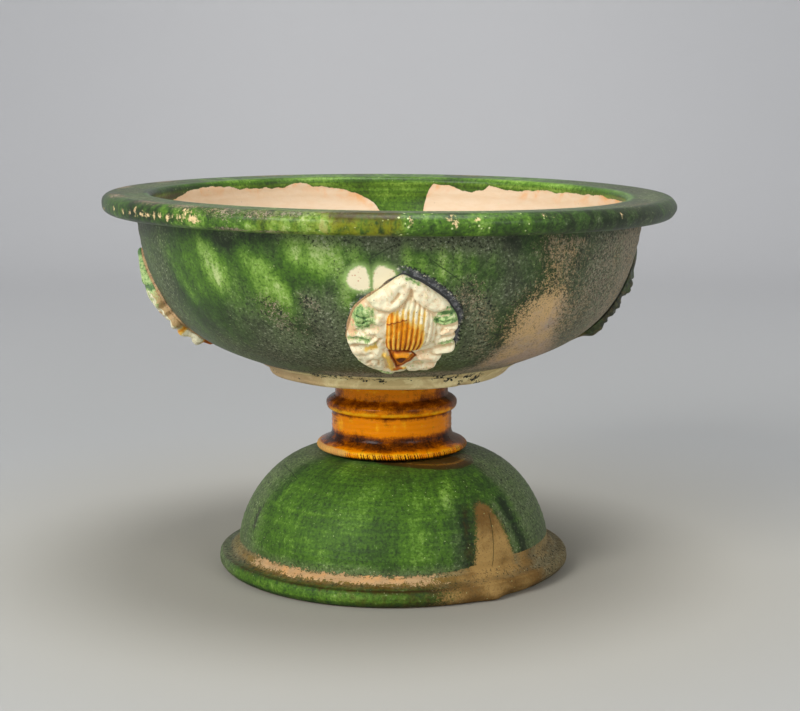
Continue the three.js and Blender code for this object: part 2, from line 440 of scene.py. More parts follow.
bowl_section = np.vstack(
    [
        [[0.0, underside]],
        straight((12, underside), (base_radius, underside), 5),
        full_wall,
        under_rim,
        roll(roll_middle, rim_round, -90, 82, 17),
        sweep(
            (roll_middle[0] + 0.6, rim_top),
            (rim_radius - 10, rim_top + 0.1),
            (inner_edge + 8, mouth_height),
            (inner_edge + inner_round, mouth_height),
            10,
        ),
        roll((inner_edge + inner_round, mouth_height - inner_round), inner_round, 90, 180, 6),
        straight(inner_corner, inner_wall[0], 9),
        inner_wall[::2],
        straight((base_radius - 3, floor_height), (8, floor_height), 6),
        [[0.0, floor_height]],
    ]
)
bowl = Turned(bowl_section, 540)
turn = bowl.turn
# Down the wall from the rim's underside, and less than 0 on the rim and inside.
down = bowl.along_at(under_rim[0]) - bowl.along
is_inside = bowl.along > bowl.along_at(inner_corner) - 2
depth = rim_top - bowl.height
past_rim = fade(-down, 36, 40)

# The kiln and the wheel left it a little uneven: the rim stands higher at the left.
near_rim = fade(bowl.height, underside + 5, rim_top)
sag = -1.0 * np.sin(np.radians(turn)) + 0.35 * np.cos(np.radians(2 * turn + 30))
bowl.height = bowl.height + near_rim * sag
throwing = 0.12 * np.sin(bowl.along * 1.15 + 1.5 * np.sin(np.radians(turn)))
wander = 0.25 * waves(turn, bowl.along, 3, (2, 6), 60)
bowl.radius = bowl.radius + near_rim * (wander + throwing)
bowl_piece = bowl.piece("glazed_bowl", "green_glaze", "bowl")

# A degree of turn spans about this far, so that patches keep their shape.
WALL_DEGREE = 1.9
RIM_DEGREE = 2.15
bowl.measure(down, WALL_DEGREE)

# Runs of glaze from top to bottom, as (path, width, strength), in degrees of turn and
# millimetres down the wall: first those that thinned out pale, then those that pooled,
# with a painted shadow under the rim among them.
pale_runs = [
    ([(-42.2, 8), (-41, 12), (-39.5, 18)], 6.4, 0.42),
    ([(-39, 20), (-36, 32)], 9.0, 0.18),
    ([(-31.8, 9), (-29.5, 16), (-26.6, 25)], 4.6, 0.36),
    ([(-27, 13), (-24.8, 18), (-22.2, 26)], 3.6, 0.32),
    ([(-23.5, 22), (-21.5, 32)], 4.5, 0.19),
    ([(-55.5, 12), (-53.5, 20), (-50.5, 30)], 4.2, 0.22),
    ([(-48, 14), (-46, 26)], 4.0, 0.19),
    ([(-19.4, 4), (-19.2, 9)], 4.0, 0.38),
    ([(-14.2, 4), (-13.6, 12)], 5.0, 0.42),
    ([(-10.2, 5), (-9.8, 12)], 4.0, 0.32),
    ([(-6.6, 5), (-6.4, 9)], 2.6, 0.28),
    ([(3.8, 4), (4.2, 11)], 2.2, 0.36),
    ([(7.0, 9), (7.4, 13)], 2.0, 0.23),
    ([(11.0, 5), (11.4, 16)], 2.0, 0.42),
    ([(14.4, 5), (14.8, 16)], 1.8, 0.36),
    ([(17.4, 6), (17.8, 13)], 1.6, 0.26),
    ([(21.5, 9), (22, 15)], 2.0, 0.19),
    ([(-8.2, 19), (-8.6, 27)], 4.0, 0.42),
    ([(-34, 18), (-28, 34)], 9.0, 0.12),
    ([(-100, 8), (-98, 30)], 6.0, 0.38),
    ([(-130, 6), (-128, 26)], 5.0, 0.49),
    ([(-148, 10), (-145, 40)], 7.0, 0.42),
    ([(130, 8), (133, 34)], 6.0, 0.42),
    ([(152, 5), (150, 22)], 4.0, 0.51),
    ([(172, 8), (175, 30)], 6.0, 0.38),
]
dark_runs = [
    ([(-40, 3.5), (-35, 6)], 3.6, 0.30),
    ([(-33.5, 4), (-33, 13)], 3.4, 0.14),
    ([(-38, 36), (-30, 42)], 6.0, 0.20),
    ([(-33, 22), (-32, 32)], 4.0, 0.06),
    ([(26, 3), (27.5, 22)], 5.0, 0.22),
    ([(16, 25), (18.8, 41), (20, 60)], 3.4, 0.20),
    # These two rows lie just under the rim: a painted shadow along the rim's underside.
    ([(-4, 0), (8, 1)], 3.0, 0.14),
    ([(12, 0.5), (25, 1)], 4.0, 0.12),
    ([(-58, 26), (-48, 48)], 8.0, 0.12),
    ([(-34, 60), (-10, 78)], 10.0, 0.20),
    ([(-44, 40), (-30, 56)], 8.0, 0.08),
    ([(-16, 40), (-15, 56)], 7.0, 0.12),
    ([(112, 10), (115, 50)], 7.0, 0.22),
    ([(-165, 20), (-160, 60)], 9.0, 0.24),
    ([(-82, 4), (-64, 3)], 6.0, 0.16),
]
light = 0.225 + 0.06 * waves(turn, down, 11, (3, 14), 90)
light = light + 0.05 * fade(down, 30, 14) * fade(abs(turn), 34, 20)
light = light + bowl.streaks(pale_runs) - bowl.streaks(dark_runs)
light = light - 0.04 * span(turn, 24, 36, 100, 130)

# On the rim the glaze lies in small patches across the roll, yellow and amber in front.
on_rim = fade(-down, 9, 12) * (1 - past_rim)
light = light + on_rim * (0.09 + 0.05 * waves(turn, down, 21, (20, 60), 400))
light = light - 0.20 * on_rim * fade(turn, 16, 36) - 0.18 * on_rim * fade(turn, -34, -56)
rim_patch_half_height = 4.5
# Each patch as its angle, level, half width in millimetres and strength.
rim_patches = [
    (-36.0, -16.0, 4.0, 0.42), (-27, -16, 4, 0.10), (-24.5, -15.6, 2.4, 0.26),
    (-20.4, -16.0, 2.4, 0.32), (-17.6, -16.4, 2.0, 0.34), (-14.6, -16.6, 2.6, 0.36),
    (-11.0, -16.6, 3, 0.30), (-5.5, -17.0, 3, 0.16),
    (7, -19, 8, 0.14), (16, -19, 6, 0.14), (3, -17, 4, 0.16), (-24, -20, 7, -0.10),
    (44, -19, 7, -0.10), (26, -18, 5, 0.06), (36, -18, 6, -0.06), (-60, -17, 6, 0.08),
]
for angle, level, width, strength in rim_patches:
    reach = bowl.oval(angle, level, width / RIM_DEGREE, rim_patch_half_height)
    light = light + strength * on_rim * swell(reach, 0, 1)
front_rim = on_rim * span(turn, -27, -21, 1.6, 3.4)
upper_roll = fade(-down, 17, 20.5)
amber = front_rim * (0.30 + 0.55 * fade(turn, -13.5, -11)) * (0.8 - 0.2 * upper_roll)
brown = front_rim * (0.2 + 0.5 * upper_roll) * fade(turn, -15, -8)
brown = brown + 0.16 * on_rim * span(abs(turn), 14, 32, 90, 120)
inside_lines = 0.09 * np.sin(depth * 2.1 + 0.6 * waves(turn, depth, 32, (2, 6), 90))
inside_lines = inside_lines + 0.08 * waves(turn, depth, 31, (4, 18), 14)
light = light + past_rim * (0.24 + inside_lines)
light = light + 0.26 * on_rim * fade(abs(turn), 115, 155)
light = light - past_rim * 0.08 * fade(abs(turn), 169, 172)
light = light - past_rim * 0.30 * span(turn, -150, -120, -50, -20)
paint(bowl_piece, light=light, amber=amber, brown=brown, calm=past_rim)
paint(bowl_piece, mottled=0.25 + on_rim * (0.7 - 0.3 * span(turn, 10, 30, 140, 170)))
# Pale flecks and painted glints on the rim, most across its front.
paint(bowl_piece, flecks=on_rim * span(turn, -6, 2, 20, 40) + 0.2 * on_rim)

# A grey film of burial wear lies under the rim, low on the wall and all down the right.
# The same grey is laid on as painted sheen along the left edge and over the rim's top.
film_patches = [
    ([(-14, 1), (0, 2), (12, 2), (20, 2.5)], 4.0, 0.90),
    ([(-22, 0), (-12, 1)], 3.0, 0.60),
    ([(-36, 1), (-26, 0)], 2.4, 0.35),
    ([(-18, 27), (-12, 44)], 8.0, 0.45),
    ([(-30, 46), (-12, 62)], 13.0, 0.55),
    ([(12, 2), (17, 4)], 3.0, 0.50),
    ([(21.5, 28), (20.5, 38)], 2.6, 0.55),
    ([(24, 26), (22, 44)], 7.0, 0.35),
    ([(-41.5, 10), (-40.5, 16)], 4.0, 0.30),
    ([(-1, 3), (2, 10)], 4.0, 0.40),
    ([(-10, 26), (-12, 40), (-8, 60)], 9.0, 0.45),
    ([(16, 26), (19, 40), (17, 58)], 8.0, 0.50),
    ([(28, 6), (32, 20)], 8.0, 0.35),
    ([(38, 4), (42, 20)], 9.0, 0.45),
    ([(-10, 10), (6, 12), (18, 10)], 8.0, 0.24),
    ([(22, 5), (27, 24)], 8.0, 0.42),
    ([(20, 34), (25, 52)], 5.0, 0.40),
]
film = 0.72 * fade(down, 40, 62) * span(turn, -75, -45, 40, 60)
film = film + bowl.streaks(film_patches)
film = np.maximum(film, 0.75 * span(turn, 34, 54, 108, 128) * (down > -2))
film = film + 0.16 * bowl.streak([(-36, 34), (-26, 44)], 16)
# Painted sheen along the left edge of the wall.
film = np.maximum(film, 0.55 * span(turn, -120, -100, -62, -48) * (down > -6))
less_behind = 1 - 0.8 * fade(abs(turn), 115, 150)
# Painted sheen over the top of the rim.
film = np.maximum(film, 0.65 * fade(-down, 22, 27) * (1 - past_rim) * less_behind)
film = np.maximum(film, 0.5 * on_rim * fade(-down, 18, 22) * span(turn, -34, -26, -16, -10))
film = np.maximum(film, 0.3 * on_rim * span(turn, 22, 40, 120, 150))
film = film + 0.10 * waves(turn, down, 41, (4, 20), 40)
film = film - 0.7 * bowl.streak([(34, 62), (56, 70)], 10)
paint(bowl_piece, film=film)

# Where the glaze is worn through: distance in from the edge, less than 0 outside.
worn_patch = [
    (29.5, 62), (29.6, 45), (30.5, 36), (33, 28), (36, 24), (38.5, 21.5), (42.5, 21),
    (45, 27), (45.5, 34), (47, 44), (54, 56), (66, 68), (60, 84), (26, 84),
]
unworn = -26.0


def wear(worn, strength, where):
    """Wear that stands a strength above unworn glaze, beside what is worn already."""
    return np.maximum(worn, unworn + strength * where)


worn = np.clip(bowl.inside(worn_patch) * 1.3 - 1, unworn, 12)
worn_belts = [
    ([(37, 5), (40, 22)], 15, 25.6),
    ([(60, 2), (60, 30)], 16, 26),
    ([(17, 24), (23, 36), (24, 56)], 11, 21),
    ([(-27, 31), (-24, 39)], 11, 19.5),
    ([(-18, 27), (-16, 30)], 6, 20),
    ([(-19, 38), (-15, 60)], 12, 16),
    ([(-40, 62), (-18, 72)], 14, 17),
    ([(8, 4), (14, 3)], 4, 15),
]
for path, width, strength in worn_belts:
    worn = wear(worn, strength, bowl.streak(path, width))
worn = wear(worn, 24.8, span(turn, 30, 37, 108, 124) * fade(down, -2, 3))
worn = worn - bowl.streaks([([(49, 6), (46, 20)], 8, 7), ([(34, 0), (60, 0)], 3, 4)])
worn = wear(worn, 29, span(turn, 52, 66, 110, 124) * (down > 0))
worn = wear(worn, 30, fade(down, 70, 82) * fade(turn, -40, -20))
worn = wear(worn, 25, fade(down, 1, -1) * span(turn, -25, -20, -15, -12))
worn = wear(worn, 24, fade(down, 76, 84))
worn = np.where(down < -4, unworn, worn)
# On the rim: angle, half width in degrees, level, half height and strength.
rim_wear = [
    (-98, 10, -25, 5, 29), (-72, 10, -25, 5, 29), (-52, 9, -24.5, 4.5, 28), (-40, 7, -23.5, 4, 27.5),
    (-31, 7, -21.5, 5, 26.4), (-23, 6, -21.0, 4, 26.4), (-17, 4, -21.5, 3, 26), (-10, 7, -24, 2.5, 26),
    (12, 10, -25, 2.5, 23), (-118, 9, -26, 5, 28), (-29, 5, -13.5, 1.8, 28), (-20, 6, -13, 1.6, 28),
    (160, 9, -27, 6, 26), (-150, 12, -27, 6, 27), (-172, 10, -25, 3, 26), (60, 14, -26, 4, 21),
]
for angle, wide, level, tall, strength in rim_wear:
    worn = wear(worn, strength, (down < -9) * swell(bowl.oval(angle, level, wide, tall), 0, 1))
paint(bowl_piece, worn=worn)
paint(bowl_piece, soot=0.6 * span(worn, -16, -6, 0, 8) * fade(turn, 34, 28) * (down > 0))
golden = bowl.streak([(29, 38), (33, 30), (39, 23)], 9)
dull = 0.42 + 0.5 * span(turn, 44, 58, 140, 170) * (down > 0)
dull = dull + 0.4 * fade(down, 52, 72) - 0.6 * golden
dull = dull + 0.15 * fade(down, -4, -12)
dull = dull + 0.12 * waves(turn, down, 97, (24, 70), 300) * fade(turn, 44, 58)
paint(bowl_piece, dull=dull + 0.3 * span(turn, -170, -140, -10, 10))

# The bare clay inside, from the ragged lower edge of the glaze band under the rim.
glaze_edge = [
    (-180, 22), (-177, 15), (-175.5, 11), (-173.5, 8.8), (-169.8, 5.8), (-165.2, 3.8),
    (-158, 2.4), (-155, 0.6), (-152.2, 1.3), (-150, 3.0), (-136, 2.6), (-131.8, 1.1),
    (-124, 0.4), (-116, 1.5), (-110, 4.3), (-96, 8), (-84, 5), (-70, 3), (-58, 6),
    (-50, 4), (-36, 3), (-22, 5), (-8, 3), (4, 7), (14, 4), (30, 3), (44, 6), (60, 4),
    (78, 3.4), (95, 2), (101, 1.9), (107, 2.3), (111, 1.3), (119, 2.3), (126.5, 2.1),
    (131, 3.0), (134, 1.9), (141, 3.0), (147, 3.4), (150, 2.1), (152, 1.3), (154, 3.8),
    (157.5, 4.9), (160, 4.5), (163, 2.3), (168.2, 1.3), (169.6, 4.9), (170.5, 10),
    (171, 16), (172.5, 30), (176, 44), (180, 26),
]
# Distances to an edge are kept within this.
FAR = 9.0
edge_turn, edge_depth = np.array(glaze_edge).T
edge = np.interp(turn, edge_turn, edge_depth) + 2.1
edge = edge + 0.22 * waves(turn, down, 51, (30, 120), 1e6)
bare = np.where(is_inside, depth - edge, -FAR)
paint(bowl_piece, bare=np.clip(bare, -FAR, FAR))

# Cream slip shows where the glaze flaked off the rim or missed the wall.
spots = [
    [
        (-8.4, 17), (-7.2, 13.6), (-5.6, 12.3), (-4.4, 13.4), (-3.9, 17.5), (-3.9, 21.2),
        (-5.8, 22), (-7.8, 20.4),
    ],
    [(-2.9, 20.8), (-2.8, 15.0), (-1.8, 12.2), (0, 12.8), (1.6, 15.2), (-0.5, 18.9), (-2.5, 21.8)],
]
# Each chip as its angle, level, half width and half height, in millimetres.
chips = [
    (-92, -12, 0.8, 0.8), (-74, -16, 0.6, 0.7), (-64.5, -17.4, 0.8, 0.9), (-56.2, -17.2, 0.5, 0.6),
    (-54.0, -17.6, 0.6, 1.2), (-51.6, -17.2, 0.9, 0.6), (-49.6, -17.0, 1.0, 0.6), (-47.4, -17.0, 0.4, 0.7),
    (-45.6, -17.4, 0.5, 0.7), (-43.4, -17.0, 1.1, 0.9), (-41.8, -17.6, 0.5, 0.5), (-40.2, -17.4, 0.4, 1.0),
    (-38.8, -18.6, 0.7, 1.4), (-37.2, -17.2, 1.2, 1.2), (-36.4, -15.8, 0.8, 0.5), (-39.4, -20.4, 0.5, 0.5),
    (-37.6, -19.4, 0.6, 0.6), (-36.0, -17.4, 0.5, 0.9), (-35.0, -16.6, 0.4, 0.5), (-59.4, -17.0, 0.5, 0.6),
    (11.8, -18.4, 0.5, 1.0), (11.2, -22.0, 0.4, 0.5), (15.8, -19.8, 0.5, 0.7), (10.6, -19.8, 0.4, 0.4),
    (4.0, -19.4, 0.4, 0.9), (28.8, -21.0, 0.4, 0.5), (31.0, -20.9, 0.4, 0.5), (47.5, -19.2, 0.4, 0.5),
    (-110, -18, 1.0, 0.9), (128, -17, 1.0, 0.9), (131, -19, 0.8, 0.8), (166, -16, 1.1, 1.0),
]
cream = np.full(turn.shape, -FAR)
for outline in spots:
    smooth_outline = rounded(bowl.laid_out(outline), 60)
    cream = np.maximum(cream, inside(turn * WALL_DEGREE, down, smooth_outline))
for angle, level, wide, tall in chips:
    reach = bowl.oval(angle, level, wide / RIM_DEGREE, tall)
    cream = np.maximum(cream, (1 - reach) * min(wide, tall))
paint(bowl_piece, cream=np.clip(cream, -FAR, FAR), flaked=fade(-down, 2, 6))


def paint_cracks(piece, turned, cracks):
    """Hairline cracks: the distance to each side of the nearest, and where they reach."""
    across = turned.turn * turned.degree
    nearest = np.full(across.shape, FAR)
    side = np.full(across.shape, FAR)
    reach = np.zeros(across.shape)
    for path in cracks:
        distance, hand, share = to_path(across, turned.level, turned.laid_out(path))
        close = distance < nearest
        nearest = np.where(close, distance, nearest)
        side = np.where(close, distance * hand, side)
        ends = span(share, 0.0, 0.08, 0.9, 1.0)
        reach = np.where(close, ends * fade(distance, 3, 2), reach)
    paint(piece, crack_side=side, crack_reach=reach)


wall_cracks = [
    [(-3.8, 9.6), (-0.8, 6), (2.4, 2.8)],
    [(8.6, 9.2), (11.8, 13.6), (15.2, 18)],
    [(-140, 5), (-132, 20), (-128, 40)],
    [(150, 60), (158, 40), (160, 30)],
]
paint_cracks(bowl_piece, bowl, wall_cracks)

DEEP_GREEN = tone(34, 48, 24)
DARK_GREEN = tone(54, 82, 30)
GREEN = tone(78, 116, 32)
LIGHT_GREEN = tone(126, 164, 66)
PALE_GREEN = tone(204, 218, 150)
AMBER_GREEN = tone(146, 138, 16)
GREY_FILM = tone(120, 124, 98)
FROST = tone(168, 172, 146)
TAN = tone(212, 178, 126)
DULL_TAN = tone(184, 160, 142)
BLACKENED = tone(34, 38, 30)
PEACH = tone(226, 206, 180)
DULL_PEACH = tone(220, 194, 160)
CREAM = tone(240, 228, 192)
WARM_CREAM = tone(236, 206, 154)
CREAM_HALO = tone(170, 200, 120)
RUSTY_DOT = tone(204, 140, 104)
BROWN_RUN = tone(60, 42, 12)
SINGED = tone(52, 46, 34)
SLATE = tone(58, 60, 62)
PALE_SLATE = tone(126, 126, 128)
LIME_GRAIN = tone(200, 194, 170)
PEACH_STAIN = tone(228, 168, 104)


def green_glaze(name, amber_colour, worn_tones, clay_tones, crumble, shine, smooth):
    """Green lead glaze over clay, as painted on a piece: runs, film, wear and chips, and painted sheen,
    highlight and shade.
    """
    coat = Finish(name, shine=shine)
    streaks = coat.grain(4.5, 4, 0.55, coat.flow(4))
    rings = coat.grain(34, 4, 0.6, coat.flow(0.04))
    cells = coat.grain(2.8, 3, 0.6, coat.flow(1.7))
    clouds = coat.grain(12, 4, 0.55, twist=0.6)
    sand = coat.grain(0.7, 4, 0.8)
    grit = coat.grain(1.8, 4, 0.7)
    pepper = coat.grain(1.15, 2, 0.7)
    lines = coat.between(coat.sway(streaks, 0.42), coat.sway(rings, 0.36), coat.painted("calm"))
    value = coat.add(
        coat.painted("light"),
        lines,
        coat.times(coat.sway(cells, 1.1), coat.painted("mottled")),
        coat.sway(clouds, 0.40),
        coat.sway(grit, 0.40),
        coat.sway(pepper, 0.45),
    )
    colour = coat.shades(
        value,
        [
            (0.0, DEEP_GREEN),
            (0.24, DARK_GREEN),
            (0.46, GREEN),
            (0.70, LIGHT_GREEN),
            (1.0, PALE_GREEN),
        ],
    )
    amber_amount = coat.times(coat.painted("amber"), coat.step(cells, 0.3, 0.62))
    colour = coat.over(colour, amber_colour, amber_amount)
    # Brown runs of glaze, and on the foot also a painted shadow under the stem's ledge.
    brown_amount = coat.step(coat.ragged("brown", (cells, 1.4)), 0.25, 0.9)
    colour = coat.over(colour, BROWN_RUN, coat.times(brown_amount, 0.9))

    # Wear takes the glaze off grain by grain, so its edge is a wide belt of specks.
    worn_edge = coat.add(
        coat.painted("worn"),
        coat.sway(sand, 80 * crumble),
        coat.sway(grit, 40 * crumble),
        coat.sway(clouds, 14),
    )
    singed = coat.step(coat.painted("worn"), -16, -3)
    colour = coat.over(colour, SINGED, coat.times(singed, 0.30))
    worn_amount = coat.step(worn_edge, -5.0, 6.0)
    worn_amount = coat.times(worn_amount, coat.between(1.0, 0.75, coat.painted("flaked")))
    dulled = coat.ragged("dull", (clouds, 2.2), (pepper, 1.6))
    worn_colour = coat.over(worn_tones[0], worn_tones[1], coat.step(dulled, -0.1, 1.1))
    colour = coat.over(colour, worn_colour, worn_amount)

    # Grey burial film, also laid on as painted sheen.
    film_amount = coat.ragged("film", (grit, 1.0), (clouds, 0.9))
    film_amount = coat.step(film_amount, 0.05, 1.0)
    colour = coat.over(colour, GREY_FILM, coat.times(film_amount, 0.5))
    frost = coat.times(coat.step(pepper, 0.56, 0.72), film_amount)
    colour = coat.over(colour, FROST, coat.times(frost, 0.9 * crumble))
    sooty = coat.add(0.3, coat.times(film_amount, 0.6), coat.painted("soot"))
    soot = coat.times(coat.step(pepper, 0.46, 0.36), sooty)
    colour = coat.over(colour, BLACKENED, soot)
    from_ring = coat.ragged("ring_gap", (pepper, 1.8), (sand, 3.0))
    ring_here = coat.step(coat.ragged("ring", (pepper, 1.6)), 0.25, 0.6)
    ring = coat.times(coat.step(from_ring, 0.4, -0.3), ring_here)
    ring_colour = coat.over(SLATE, PALE_SLATE, coat.step(grit, 0.42, 0.68))
    colour = coat.over(colour, ring_colour, ring)
    ring_edge = coat.times(coat.step(coat.math("ABSOLUTE", from_ring), 0.8, 0.3), ring_here)
    colour = coat.over(colour, BLACKENED, coat.times(coat.step(pepper, 0.50, 0.44), ring_edge))
    colour = coat.over(colour, LIME_GRAIN, coat.times(coat.step(pepper, 0.57, 0.66), ring_edge))

    bare_edge = coat.add(
        coat.painted("bare"),
        coat.sway(grit, 1.0),
        coat.sway(sand, 0.6),
        coat.times(coat.add(coat.sway(grit, 7.0), coat.sway(sand, 6.0)), coat.painted("scuffed")),
    )
    bare_amount = coat.step(bare_edge, -0.12, 0.12)
    peach_stain = coat.grain(16, 4, 0.6, twist=0.8)
    clay_lines = coat.step(coat.grain(9, 4, 0.65, coat.flow(0.22)), 0.38, 0.66)
    bare_colour = coat.over(clay_tones[0], clay_tones[1], coat.times(clay_lines, 0.5))
    near_edge = coat.step(coat.painted("bare"), 7, 0.5)
    stained = coat.times(coat.step(peach_stain, 0.46, 0.7), near_edge, coat.painted("calm"))
    bare_colour = coat.over(bare_colour, PEACH_STAIN, coat.times(stained, 0.85))
    colour = coat.over(colour, DARK_GREEN, coat.times(coat.step(bare_edge, -1.6, -0.2), 0.35))
    colour = coat.over(colour, bare_colour, bare_amount)

    uneven = coat.add(coat.sway(grit, 3.0), coat.sway(pepper, 3.6))
    ragged = coat.times(uneven, coat.between(0.4, 1.0, coat.painted("flaked")))
    cream_edge = coat.add(coat.painted("cream"), ragged, coat.sway(sand, 0.8))
    cream_amount = coat.step(cream_edge, -0.6, 0.5)
    glow = coat.times(coat.step(coat.painted("cream"), -3.2, 0.6), 0.72)
    glow = coat.times(glow, coat.rest(coat.painted("flaked")))
    colour = coat.over(colour, CREAM_HALO, glow)
    cream_colour = coat.over(CREAM, WARM_CREAM, coat.painted("flaked"))
    rusty_dots = coat.times(coat.step(coat.spots(1.5), 0.26, 0.16), coat.step(grit, 0.46, 0.54))
    cream_colour = coat.over(cream_colour, RUSTY_DOT, coat.times(rusty_dots, 0.75))
    colour = coat.over(colour, cream_colour, cream_amount)
    # Pale flecks of glaze, and painted glints, in pale green.
    flecks = coat.add(coat.spots(2.6), coat.times(coat.painted("flecks"), -0.09))
    flecked = coat.times(coat.step(flecks, 0.10, 0.03), coat.step(clouds, 0.45, 0.55))
    colour = coat.over(colour, PALE_GREEN, flecked)

    specks = coat.times(coat.step(coat.spots(4.2), 0.11, 0.06), coat.step(clouds, 0.42, 0.52))
    colour = coat.over(colour, BLACKENED, coat.times(specks, coat.between(0.8, 0.15, bare_amount)))
    crack = coat.step(coat.math("ABSOLUTE", coat.painted("crack_side")), 0.30, 0.10)
    crack = coat.times(crack, coat.painted("crack_reach"), 0.75)
    colour = coat.over(colour, DEEP_GREEN, crack)

    gone = coat.math("MAXIMUM", coat.math("MAXIMUM", worn_amount, bare_amount), cream_amount)
    roughness = coat.between(smooth, 0.58, film_amount)
    roughness = coat.between(roughness, 0.8, gone)
    coat.bump(coat.rest(gone), 0.10)
    coat.bump(coat.rest(crack), 0.12)
    coat.bump(sand, 0.05)
    coat.bump(clouds, 0.3)
    return coat.done(colour, roughness)


bowl_coat = green_glaze(
    "green_glaze_on_bowl",
    amber_colour=AMBER_GREEN,
    worn_tones=(TAN, DULL_TAN),
    clay_tones=(PEACH, DULL_PEACH),
    crumble=1.0,
    shine=0.26,
    smooth=0.36,
)
bowl_piece.data.materials.append(bowl_coat)

# The disc under the bowl. Thrown as a flat cake of clay and stuck between bowl and
# stem. Its thin straw glaze is dull and pitted with black, and its right side is worn
# away towards the bottom, with a chip in the lower edge.
disc_low, disc_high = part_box("bowl_disc")
disc_bottom = disc_low.z / MM
disc_top = disc_high.z / MM
disc_offset = 0.8
disc_top_radius = 56.0
disc_bottom_radius = 54.0
disc_round = 2.2
disc_arris = 0.7
disc_section = np.vstack(
    [
        [[0.0, disc_bottom]],
        straight((10, disc_bottom), (disc_bottom_radius - disc_round, disc_bottom), 8),
        roll((disc_bottom_radius - disc_round, disc_bottom + disc_round), disc_round, -90, -10, 10),
        straight((disc_bottom_radius - 0.1, disc_bottom + 2.0), (disc_top_radius, disc_top - disc_arris), 9),
        roll((disc_top_radius - disc_arris, disc_top - disc_arris), disc_arris, 0, 90, 4),
        straight((disc_top_radius - disc_arris, disc_top), (10, disc_top), 8),
        [[0.0, disc_top]],
    ]
)
disc = Turned(disc_section, 400, disc_offset)
up_disc = disc.height - disc_bottom
disc.measure(up_disc)
side = fade(disc.radius, 44, 50)
disc.radius = disc.radius + side * 0.35 * waves(disc.turn, disc.along, 61, (2, 9), 30)
taken_off = span(disc.turn, 26, 58, 96, 128) * fade(up_disc, 6.2, 0.5)
chip = swell(disc.turn, 36, 3.2) * fade(up_disc, 2.6, 0.3)
disc.radius = disc.radius - side * (2.2 * taken_off + 1.2 * chip)
disc_piece = disc.piece("bowl_disc_glazed", "pale_glaze", "bowl_disc")


def pitted(turned):
    """Where black pits lie close together in the straw glaze, from 0 to 1."""
    # Each group as its angle, level, size and strength.
    groups = [
        (-31, 5.9, 2.4, 1.0), (-28, 6.1, 2.0, 0.9), (-24.5, 5.9, 1.2, 0.8), (-20, 6.1, 2.2, 1.0),
        (-16, 5.7, 1.4, 0.8), (-11, 5.0, 1.4, 0.9), (-7, 5.6, 1.0, 0.6), (-3.7, 4.7, 2.0, 1.0),
        (9, 5.2, 0.9, 0.6), (18.5, 5.6, 1.0, 0.7), (21.5, 6.0, 2.4, 1.1), (24.5, 4.2, 1.4, 0.9),
        (27.2, 4.5, 2.2, 1.1), (30, 5.8, 1.2, 0.9), (33, 1.8, 1.4, 0.9), (36, 5.0, 2.4, 1.1),
        (40.5, 3.0, 2.4, 1.1), (43, 5.2, 1.6, 0.9), (45, 0.5, 2.0, 1.0), (-46, 2.6, 1.4, 0.8),
        (-70, 3.0, 6.0, 0.5), (100, 3.5, 8.0, 0.8), (150, 3.5, 8.0, 0.9), (-140, 4.0, 9.0, 0.8),
    ]
    pits = np.zeros(turned.turn.shape)
    for angle, level, size, strength in groups:
        gap = turned.oval(angle, level, 1.25 * size, 1.5)
        pits = np.maximum(pits, strength * fade(gap, 1.5, 0.5))
    return pits


def stained(turned):
    """Where green glaze has run down over the straw, from 0 to 1."""
    turn = turned.turn
    up = turned.level
    belt = fade(up, 5.2, 6.8) * (0.6 + 0.3 * waves(turn, turned.along, 62, (3, 12), 40))
    low_left = 0.9 * swell(turn, -42, 6) * fade(up, 4.0, 1.0)
    return belt + low_left + 0.35 * fade(up, 1.2, 0.2) * span(turn, -80, -60, -30, -12)


rusty = fade(disc.turn, -14, -48) + 0.8 * fade(disc.turn, 46, 76) + chip
paint(disc_piece, pits=pitted(disc), green=stained(disc), rusty=rusty)

STRAW = tone(212, 188, 132)
PALE_STRAW = tone(238, 220, 164)
OLIVE = tone(112, 112, 74)
RUSTY = tone(190, 156, 112)
straw = Finish("straw_glaze")
fine = straw.grain(0.6, 4, 0.7)
broad = straw.grain(7, 4, 0.6, twist=0.5)
straw_colour = straw.over(STRAW, PALE_STRAW, straw.step(broad, 0.42, 0.62))
green_amount = straw.step(straw.ragged("green", (fine, 1.2), (broad, 1.4)), 0.35, 1.1)
straw_colour = straw.over(straw_colour, OLIVE, straw.times(green_amount, 0.7))
rusty_amount = straw.step(straw.ragged("rusty", (fine, 1.2)), 0.2, 1.1)
straw_colour = straw.over(straw_colour, RUSTY, straw.times(rusty_amount, 0.8))
dust = straw.step(straw.grain(0.45, 3, 0.8), 0.62, 0.72)
straw_colour = straw.over(straw_colour, OLIVE, straw.times(dust, 0.5))
pits_here = straw.times(straw.painted("pits"), -0.56)
pit_reach = straw.add(straw.spots(1.15), pits_here, straw.sway(fine, 0.7))
pit_spots = straw.step(pit_reach, 0.02, -0.08)
straw_colour = straw.over(straw_colour, BLACKENED, pit_spots)
straw.bump(straw.rest(pit_spots), 0.3)
straw.bump(fine, 0.12)
straw.bump(broad, 0.5)
straw_glaze = straw.done(straw_colour, straw.between(0.5, 0.75, fine))
disc_piece.data.materials.append(straw_glaze)

